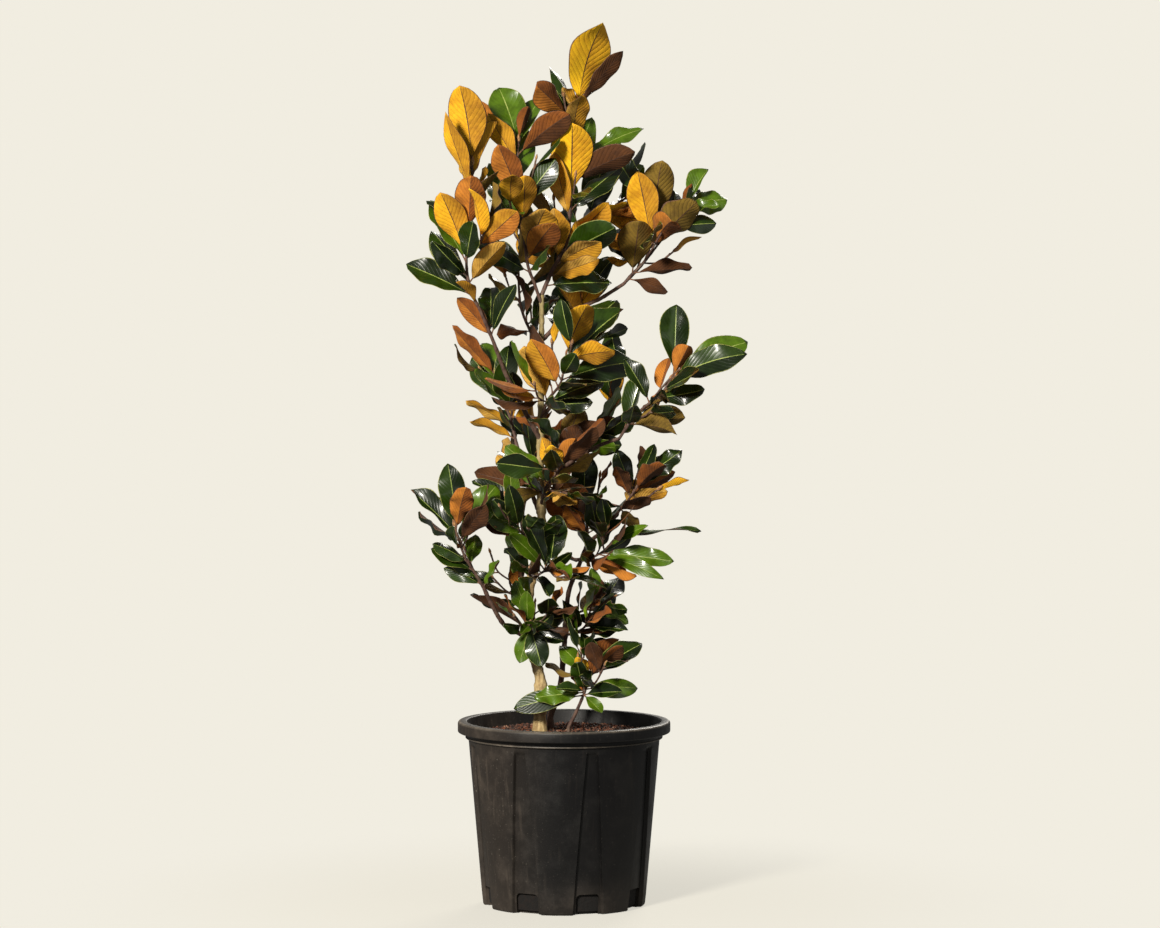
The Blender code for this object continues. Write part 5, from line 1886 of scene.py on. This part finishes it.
def grown_leaves():
    """All the leaves by shoot, the paths of all the stems, and what leaves keep clear of."""
    obstacles = [(name, tree_of(frame["nodes"][name])) for name in ("pot", "soil", *LIMBS)]
    stems = {}
    for name, shoot in SHOOTS.items():
        path = smooth_path(shoot.stem)
        radii = limb_radii(path, shoot.radius, TWIG_TIP_RADIUS)
        stems[name] = path
        obstacles.append((name, plain_tube(path, radii)))
    placed = []
    leaves = {name: [] for name in SHOOTS}
    wishes = {}
    for name, shoot in SHOOTS.items():
        wishes[name] = wished_leaves(name, shoot, stems[name])
        leading = [wish for wish in wishes[name] if not wish.ruled]
        settle_all(name, leading, leaves[name], placed, obstacles)
    for name in SHOOTS:
        settle_all(name, late_leaves(name, stems[name]), leaves[name], placed, obstacles)
    for name in SHOOTS:
        ruled = [wish for wish in wishes[name] if wish.ruled]
        settle_all(name, ruled, leaves[name], placed, obstacles)
    for name, shoot in SHOOTS.items():
        for twig_name, twig in side_shoots(name, shoot, stems[name]).items():
            path = smooth_path(twig.stem)
            extra = []
            settle_all(twig_name, wished_leaves(twig_name, twig, path), extra, placed, obstacles)
            if extra:
                stems[twig_name] = path
                leaves[name] += extra
    return leaves, stems, obstacles


def settle_all(name, wishes, kept, placed, obstacles):
    """Adds the wished leaves that find their room to those kept."""
    chance = random.Random(name + "_turned")
    for wish in wishes:
        leaf = settled_leaf(name, wish, placed, obstacles)
        if leaf:
            kept.append(turned_over(leaf, chance) if wish.ruled else leaf)


def leaf_piece(name, shoots, blades, finishes):
    """One piece of the crown: the finished leaves of some shoots."""
    points, faces, used, uvs = [], [], [], []
    for blade in (blade for shoot in shoots for blade in blades[shoot]):
        start = len(points)
        points += blade[0]
        faces += [tuple(corner + start for corner in face) for face in blade[1]]
        used += blade[2]
        uvs += blade[3]
    piece = mesh_object(name, points, faces)
    order = sorted(set(used))
    for label in order:
        piece.data.materials.append(finishes[label])
    numbers = {label: index for index, label in enumerate(order)}
    piece.data.polygons.foreach_set("material_index", [numbers[label] for label in used])
    layer = piece.data.uv_layers.new(name="blade")
    flat = [number for face in uvs for corner in face for number in corner]
    layer.data.foreach_set("uv", flat)
    piece.data.shade_smooth()
    return set_up(piece, "leaf", *shoots)


def petiole(leaf):
    """The path and radii of a leaf's stalk, up to the foot of its blade."""
    end = BLADE_FROM + PETIOLE_LAP
    path = []
    radii = []
    for step in range(PETIOLE_STEPS):
        share = end * step / (PETIOLE_STEPS - 1)
        bow = leaf.face * leaf.length * (LEAF_BOW * 4 * share * (1 - share))
        path.append(leaf.base + leaf.along * leaf.length * share + bow)
        near_foot = max(0.0, 1 - PETIOLE_FOOT_STEEPNESS * step / (PETIOLE_STEPS - 1))
        radii.append(PETIOLE_RADIUS + (PETIOLE_FOOT_RADIUS - PETIOLE_RADIUS) * near_foot)
    return path, radii


def bud(path, chance):
    """The path and radii of a pointed bud on the end of a stem."""
    end, direction = point_on(path, 1.0)
    size = chance.uniform(1 - BUD_SCATTER, 1 + BUD_SCATTER)
    line = []
    radii = []
    for step in range(BUD_STEPS):
        share = step / (BUD_STEPS - 1)
        line.append(end + direction * BUD_LENGTH * size * (share - BUD_SINK))
        plump = math.sin(math.pi * share**BUD_LEAN) ** BUD_FULLNESS
        radii.append(BUD_RADIUS * size * max(BUD_POINT, plump))
    return line, radii


def grown_piece(grower, name, lines, relief, material, slot, *nodes):
    """One finished piece of bark or felt, swept along its lines."""
    values = {**relief, "Material": material}
    return set_up(grower.grow(name, paths_curve(name + "_lines", lines), values), slot, *nodes)


def crown(grower, bark):
    """The leaves, twigs, petioles and buds."""
    leaves, stems, obstacles = grown_leaves()
    blades, kept = settled_blades(leaves, obstacles)
    finishes = leaf_finishes()
    for name, shoots in CROWN_PARTS.items():
        leaf_piece(name, shoots, blades, finishes)
    twigs = []
    buds = []
    for name, path in stems.items():
        shoot = SHOOTS.get(name)
        foot_radius = shoot.radius if shoot else SIDE_TWIG_RADIUS
        fine = even_path(smooth_path(path, TWIG_STEPS), BARK_STEP)
        tip_radius = TWIG_TIP_RADIUS * TWIG_TIP_SHARE
        twigs.append((fine, limb_radii(fine, foot_radius, tip_radius, seed=name)))
        buds.append(bud(path, random.Random(name + "_bud")))
    petioles = [petiole(leaf) for leaf in kept]
    stalk = felted_stalk("stalk_felt", *STALK_BROWNS)
    felt = felted_stalk("bud_felt", *BUD_BROWNS)
    grown_piece(grower, "twigs", twigs, TWIG_RELIEF, bark, "young_bark")
    grown_piece(grower, "petioles", petioles, PETIOLE_RELIEF, stalk, "leaf")
    grown_piece(grower, "buds", buds, BUD_RELIEF, felt, "leaf")


def limbs(grower, young):
    """The trunk, the other stems and the boughs, with their bark's relief."""
    old = old_bark()
    for name, limb in LIMBS.items():
        path = smooth_path(limb.path)
        if limb.path[0][2] < SOIL_TOP + 2 * CLEAR:
            path[1] = Vector((*path[0].xy, path[1].z))
            path.insert(0, path[0] - Vector((0.0, 0.0, SOIL_SINK)))
        fine = even_path(smooth_path(path, LIMB_STEPS), BARK_STEP)
        sizes = (limb.foot_radius, limb.tip_radius, limb.flare)
        lines = [(fine, limb_radii(fine, *sizes, knots=KNOTS.get(name, ()), seed=name))]
        relief = {**LIMB_RELIEF, "Relief": limb.foot_radius * LIMB_RELIEF_SHARE}
        look = (old, "old_bark") if name == "trunk" else (young, "young_bark")
        grown_piece(grower, name + "_bark", lines, relief, *look, name)


# Pot and compost

def recess_half_angle(height):
    """Half the angle of the recess between two panels, wider towards the foot."""
    share = min(height / COLLAR_FOOT, 1.0)
    return RECESS_FOOT_HALF_ANGLE + (RECESS_TOP_HALF_ANGLE - RECESS_FOOT_HALF_ANGLE) * share


def body_radius(height):
    """The outer radius of the pot's body at a height."""
    return BODY_FOOT_RADIUS + (BODY_TOP_RADIUS - BODY_FOOT_RADIUS) * height / COLLAR_FOOT


def eased(share):
    """A soft step from 0 to 1."""
    share = max(0.0, min(1.0, share))
    return share * share * (3 - 2 * share)


def pot_ring(height, radius, depth=0.0):
    """One level ring of the pot, pushed in by a depth between its panels."""
    points = []
    panel_angle = 360.0 / PANELS
    recess_half = recess_half_angle(height)
    panel_half = panel_angle / 2 - recess_half - RECESS_SLOPE_ANGLE
    for panel in range(PANELS):
        middle = PANEL_TURN + panel * panel_angle
        columns = []
        for step in range(PANEL_STEPS):
            columns.append((-panel_half + 2 * panel_half * step / PANEL_STEPS, 0.0))
        for step in range(EDGE_STEPS):
            share = step / EDGE_STEPS
            columns.append((panel_half + RECESS_SLOPE_ANGLE * share, eased(share)))
        for step in range(RECESS_STEPS):
            across = panel_half + RECESS_SLOPE_ANGLE + 2 * recess_half * step / RECESS_STEPS
            columns.append((across, 1.0))
        for step in range(EDGE_STEPS):
            share = step / EDGE_STEPS
            across = panel_half + RECESS_SLOPE_ANGLE * (1 + share) + 2 * recess_half
            columns.append((across, 1 - eased(share)))
        for across, sunk in columns:
            turn = math.radians(middle + across)
            reach = radius - depth * sunk
            points.append((reach * math.cos(turn), reach * math.sin(turn), height))
    return points


def arc(middle_radius, middle_height, size, start, stop):
    """Radii and heights along a rounding, from one angle to another."""
    places = []
    for step in range(ROUNDING_STEPS + 1):
        turn = math.radians(start + (stop - start) * step / ROUNDING_STEPS)
        out = middle_radius + size * math.cos(turn)
        places.append((out, middle_height + size * math.sin(turn)))
    return places


def skinned_rings(name, rings):
    """A closed solid skinned over rings of points, from its first ring to its last."""
    around = len(rings[0])
    points = [Vector(point) for ring in rings for point in ring]
    faces = bands(len(rings), around)
    faces.append(tuple(reversed(range(around))))
    faces.append(tuple(range((len(rings) - 1) * around, len(points))))
    return mesh_object(name, points, faces)


def notch_cutter():
    """Round-cornered prisms that cut the drain notches."""
    points = []
    faces = []
    half = NOTCH_WIDTH / 2
    outline = [(-half, -NOTCH_HEIGHT), (half, -NOTCH_HEIGHT)]
    for corner, start in ((half - NOTCH_ROUNDING, 0), (-half + NOTCH_ROUNDING, 90)):
        for step in range(NOTCH_CORNER_STEPS + 1):
            turn = math.radians(start + 90 * step / NOTCH_CORNER_STEPS)
            across = corner + NOTCH_ROUNDING * math.cos(turn)
            up = NOTCH_HEIGHT - NOTCH_ROUNDING + NOTCH_ROUNDING * math.sin(turn)
            outline.append((across, up))
    count = len(outline)
    for panel in range(PANELS):
        turn = math.radians(PANEL_TURN + (panel + 0.5) * 360.0 / PANELS)
        out = Vector((math.cos(turn), math.sin(turn), 0.0))
        side = Vector((-math.sin(turn), math.cos(turn), 0.0))
        start = len(points)
        for reach in (BODY_FOOT_RADIUS - NOTCH_DEPTH, BODY_FOOT_RADIUS + NOTCH_DEPTH):
            points += [out * reach + side * across + Vector((0, 0, up)) for across, up in outline]
        faces.append(tuple(start + index for index in reversed(range(count))))
        faces.append(tuple(start + count + index for index in range(count)))
        faces += bands(2, count, start)
    return mesh_object("notch_cutter", points, faces)


def pot():
    """The pot: a thin panelled shell with a rolled rim, a bead and drain notches."""
    rim_foot = POT_HEIGHT - RIM_DEPTH
    foot = arc(BODY_FOOT_RADIUS - FOOT_ROUNDING, FOOT_ROUNDING, FOOT_ROUNDING, -90, 0)
    rings = [pot_ring(height, radius, RECESS_DEPTH) for radius, height in foot]
    for step in range(1, BODY_STEPS + 1):
        height = FOOT_ROUNDING + (RECESS_FULL - FOOT_ROUNDING) * step / BODY_STEPS
        rings.append(pot_ring(height, body_radius(height), RECESS_DEPTH))
    for step in range(1, ROUNDING_STEPS + 1):
        share = step / ROUNDING_STEPS
        height = RECESS_FULL + (RECESS_TOP - RECESS_FULL) * share
        rings.append(pot_ring(height, body_radius(height), RECESS_DEPTH * (1 - eased(share))))
    rings.append(pot_ring(COLLAR_FOOT - BEAD_HALF, BODY_TOP_RADIUS))
    for radius, height in arc(COLLAR_RADIUS - BEAD_HALF, BEAD_HEIGHT, BEAD_HALF, -90, 90):
        rings.append(pot_ring(height, radius))
    rings.append(pot_ring(COLLAR_FOOT + 3 * BEAD_HALF, COLLAR_RADIUS - BEAD_HALF))
    rings.append(pot_ring(rim_foot, COLLAR_RADIUS - BEAD_HALF))
    small, large, inner = RIM_FOOT_ROUNDING, RIM_TOP_ROUNDING, MOUTH_ROUNDING
    lip = arc(RIM_RADIUS - small, rim_foot + small, small, -90, 0)
    lip += arc(RIM_RADIUS - large, POT_HEIGHT - large, large, 0, 90)
    lip += arc(MOUTH_RADIUS + inner, POT_HEIGHT - inner, inner, 90, 180)
    rings += [pot_ring(height, radius) for radius, height in lip]
    rings.append(pot_ring(RECESS_TOP, BODY_TOP_RADIUS - WALL))
    for height in (RECESS_FULL, FLOOR):
        rings.append(pot_ring(height, body_radius(height) - WALL, RECESS_DEPTH))
    made = skinned_rings("nursery_pot", rings)
    cutter = notch_cutter()
    boolean = made.modifiers.new("notches", "BOOLEAN")
    boolean.object = cutter
    boolean.solver = "EXACT"
    depsgraph = bpy.context.evaluated_depsgraph_get()
    mesh = bpy.data.meshes.new_from_object(made.evaluated_get(depsgraph))
    made.modifiers.clear()
    made.data = mesh
    bpy.data.objects.remove(cutter)
    mesh.materials.clear()
    mesh.materials.append(pot_plastic())
    mesh.shade_smooth()
    mesh.set_sharp_from_angle(angle=math.radians(SHARP_ANGLE))
    return set_up(made, "black_plastic", "pot")


def soil_radius(height):
    """The compost's radius at a height, just inside the pot's wall."""
    return body_radius(height) - WALL - CLEAR


def mulch_body():
    """The compost, which fills the pot."""
    top = SOIL_TOP - SOIL_SINK
    edge = BODY_TOP_RADIUS - WALL - CLEAR
    rings = [
        pot_ring(FLOOR + CLEAR, soil_radius(FLOOR), RECESS_DEPTH),
        pot_ring(RECESS_FULL, soil_radius(RECESS_FULL), RECESS_DEPTH),
        pot_ring(RECESS_TOP, edge),
        pot_ring(top - SOIL_EDGE_DROP, edge),
        pot_ring(top, SOIL_FLAT_RADIUS),
    ]
    made = skinned_rings("compost", rings)
    made.data.materials.append(compost())
    return set_up(made, "bark_mulch", "soil")


def chip_shapes():
    """A hidden collection of rough bark chips, which the mulch is strewn with."""
    group = bpy.data.collections.new("chips")
    for number in range(CHIP_SHAPES):
        chance = random.Random("chip %d" % number)
        points = []
        for corner in range(CHIP_CORNERS):
            nudge = chance.uniform(-CHIP_TURN_SCATTER, CHIP_TURN_SCATTER)
            turn = math.tau * (corner + nudge) / CHIP_CORNERS
            long = chance.uniform(*CHIP_HALF_LENGTHS)
            wide = chance.uniform(*CHIP_HALF_WIDTHS)
            level = chance.uniform(*CHIP_HALF_DEPTHS)
            points.append(Vector((long * math.cos(turn), wide * math.sin(turn), level)))
        points += [Vector((p.x * CHIP_TAPER, p.y * CHIP_TAPER, -p.z)) for p in points]
        below = range(CHIP_CORNERS, 2 * CHIP_CORNERS)
        faces = [tuple(range(CHIP_CORNERS)), tuple(reversed(below))]
        for low in range(CHIP_CORNERS):
            after = (low + 1) % CHIP_CORNERS
            faces.append((CHIP_CORNERS + low, CHIP_CORNERS + after, after, low))
        mesh = bpy.data.meshes.new("chip")
        mesh.from_pydata(points, [], faces)
        group.objects.link(bpy.data.objects.new("chip_%d" % number, mesh))
    return group


def mulch_grower():
    """Strews chips over a surface, turned at random and tilted."""
    inputs = {
        "Density": "Float",
        "Seed": "Int",
        "Smallest": "Float",
        "Largest": "Float",
        "Chips": "Collection",
        "Material": "Material",
    }
    grower = Grower("mulch_grower", inputs)
    spread_inputs = {
        "Mesh": grower.entry("Geometry"),
        "Density": grower.entry("Density"),
        "Seed": grower.entry("Seed"),
    }
    spread = grower.add("GeometryNodeDistributePointsOnFaces", inputs=spread_inputs)
    info_inputs = {
        "Collection": grower.entry("Chips"),
        "Separate Children": True,
        "Reset Children": True,
    }
    chips = grower.add("GeometryNodeCollectionInfo", inputs=info_inputs)
    turn_inputs = {
        "Min": (-CHIP_TILT, -CHIP_TILT, 0.0),
        "Max": (CHIP_TILT, CHIP_TILT, math.tau),
        "Seed": CHIP_TURN_SEED,
    }
    turns = grower.add("FunctionNodeRandomValue", {"data_type": "FLOAT_VECTOR"}, turn_inputs)
    size = grower.add("FunctionNodeRandomValue", {"data_type": "FLOAT"})
    sockets = [socket for socket in size.inputs if socket.enabled]
    grower.tree.links.new(grower.entry("Smallest"), sockets[0])
    grower.tree.links.new(grower.entry("Largest"), sockets[1])
    size_out = next(socket for socket in size.outputs if socket.enabled)
    strewn_inputs = {
        "Points": spread.outputs["Points"],
        "Instance": chips.outputs[0],
        "Pick Instance": True,
        "Rotation": turns.outputs[0],
        "Scale": size_out,
    }
    strewn = grower.add("GeometryNodeInstanceOnPoints", inputs=strewn_inputs)
    grower.end(strewn.outputs[0], grower.entry("Material"))
    return grower


def mulch_surface():
    """The surface that chips are strewn on: the compost's top, short of the wall."""
    points = [Vector((0.0, 0.0, SOIL_TOP - MULCH_SINK))]
    around = MULCH_SIDES
    for radius in MULCH_RADII:
        drop = SOIL_EDGE_DROP * max(0.0, (radius - SOIL_FLAT_RADIUS) / SOIL_EDGE_RUN)
        height = SOIL_TOP - MULCH_SINK - drop
        for index in range(around):
            turn = math.tau * index / around
            points.append(Vector((radius * math.cos(turn), radius * math.sin(turn), height)))
    faces = [(0, 1 + index, 1 + (index + 1) % around) for index in range(around)]
    for low, after, far_after, far in bands(len(MULCH_RADII), around, 1):
        faces.append((low, far, far_after, after))
    return mesh_object("mulch_surface", points, faces)


def mulch():
    """Bark chips in three browns, strewn over the compost."""
    group = chip_shapes()
    grower = mulch_grower()
    for name, (dark, light, density, seed) in MULCH_TONES.items():
        values = {
            "Density": density,
            "Seed": seed,
            "Smallest": CHIP_SMALLEST,
            "Largest": CHIP_LARGEST,
            "Chips": group,
            "Material": chip_bark(name, dark, light),
        }
        set_up(grower.grow(name, mulch_surface(), values), "bark_mulch", "soil")
    for chip in list(group.objects):
        bpy.data.objects.remove(chip)
    bpy.data.collections.remove(group)


# Stage, light and camera

def stage_floor():
    """A plain pale floor that fades out into the pale background."""
    around = STAGE_CORNERS
    points = [Vector((0.0, 0.0, 0.0))]
    for index in range(around):
        turn = math.tau * index / around
        points.append(Vector((STAGE_RADIUS * math.cos(turn), STAGE_RADIUS * math.sin(turn), 0.0)))
    faces = [(0, 1 + index, 1 + (index + 1) % around) for index in range(around)]
    floor = mesh_object("floor", points, faces)
    finish = Finish("pale_floor", STAGE_FINISH)
    length = {"operation": "LENGTH"}
    reach = finish.add("ShaderNodeVectorMath", length, {0: finish.place()}, "Value")
    finish.set("Alpha", STAGE_SHADOW - STAGE_SHADOW * reach.step(*STAGE_FADE))
    floor.data.materials.append(finish.material)


def background():
    """A pale background, dimmer as a light than it looks."""
    world = bpy.data.worlds.new("pale_background")
    bpy.context.scene.world = world
    world.use_nodes = True
    tree = world.node_tree
    tree.nodes.clear()
    output = tree.nodes.new("ShaderNodeOutputWorld")
    mixer = tree.nodes.new("ShaderNodeMixShader")
    rays = tree.nodes.new("ShaderNodeLightPath")
    for slot, colour in enumerate((BACKGROUND_LIGHT, BACKGROUND_SEEN)):
        node = tree.nodes.new("ShaderNodeBackground")
        node.inputs["Color"].default_value = (*colour, 1.0)
        tree.links.new(node.outputs[0], mixer.inputs[1 + slot])
    tree.links.new(rays.outputs["Is Camera Ray"], mixer.inputs["Fac"])
    tree.links.new(mixer.outputs[0], output.inputs["Surface"])


def studio_light(name, place, size, energy, colour):
    """One soft area light that points at the crown."""
    lamp = bpy.data.lights.new(name, "AREA")
    lamp.shape = "DISK"
    lamp.size = size
    lamp.energy = energy
    lamp.color = colour
    made = bpy.data.objects.new(name, lamp)
    bpy.context.scene.collection.objects.link(made)
    aim = Vector(CROWN_AIM) - Vector(place)
    turned = aim.to_track_quat("-Z", "Y").to_matrix().to_4x4()
    made.matrix_world = Matrix.Translation(place) @ turned


def lights():
    """A warm key light from the upper left, and two weaker ones."""
    for name, looks in LIGHTS.items():
        studio_light(name, *looks)


def camera():
    """The camera, at the photograph's viewing angle, with plain colours."""
    bpy.context.scene.view_settings.view_transform = "Standard"
    data = bpy.data.cameras.new("camera")
    data.lens = CAMERA_LENS
    data.sensor_width = CAMERA_SENSOR
    made = bpy.data.objects.new("camera", data)
    bpy.context.scene.collection.objects.link(made)
    made.location = CAMERA_PLACE
    made.rotation_euler = (math.radians(90 - CAMERA_TILT), 0.0, 0.0)
    bpy.context.scene.camera = made


pot()
mulch_body()
mulch()
bark_sweep = bark_grower()
bough_bark = young_bark()
limbs(bark_sweep, bough_bark)
crown(bark_sweep, bough_bark)
stage_floor()
background()
lights()
camera()
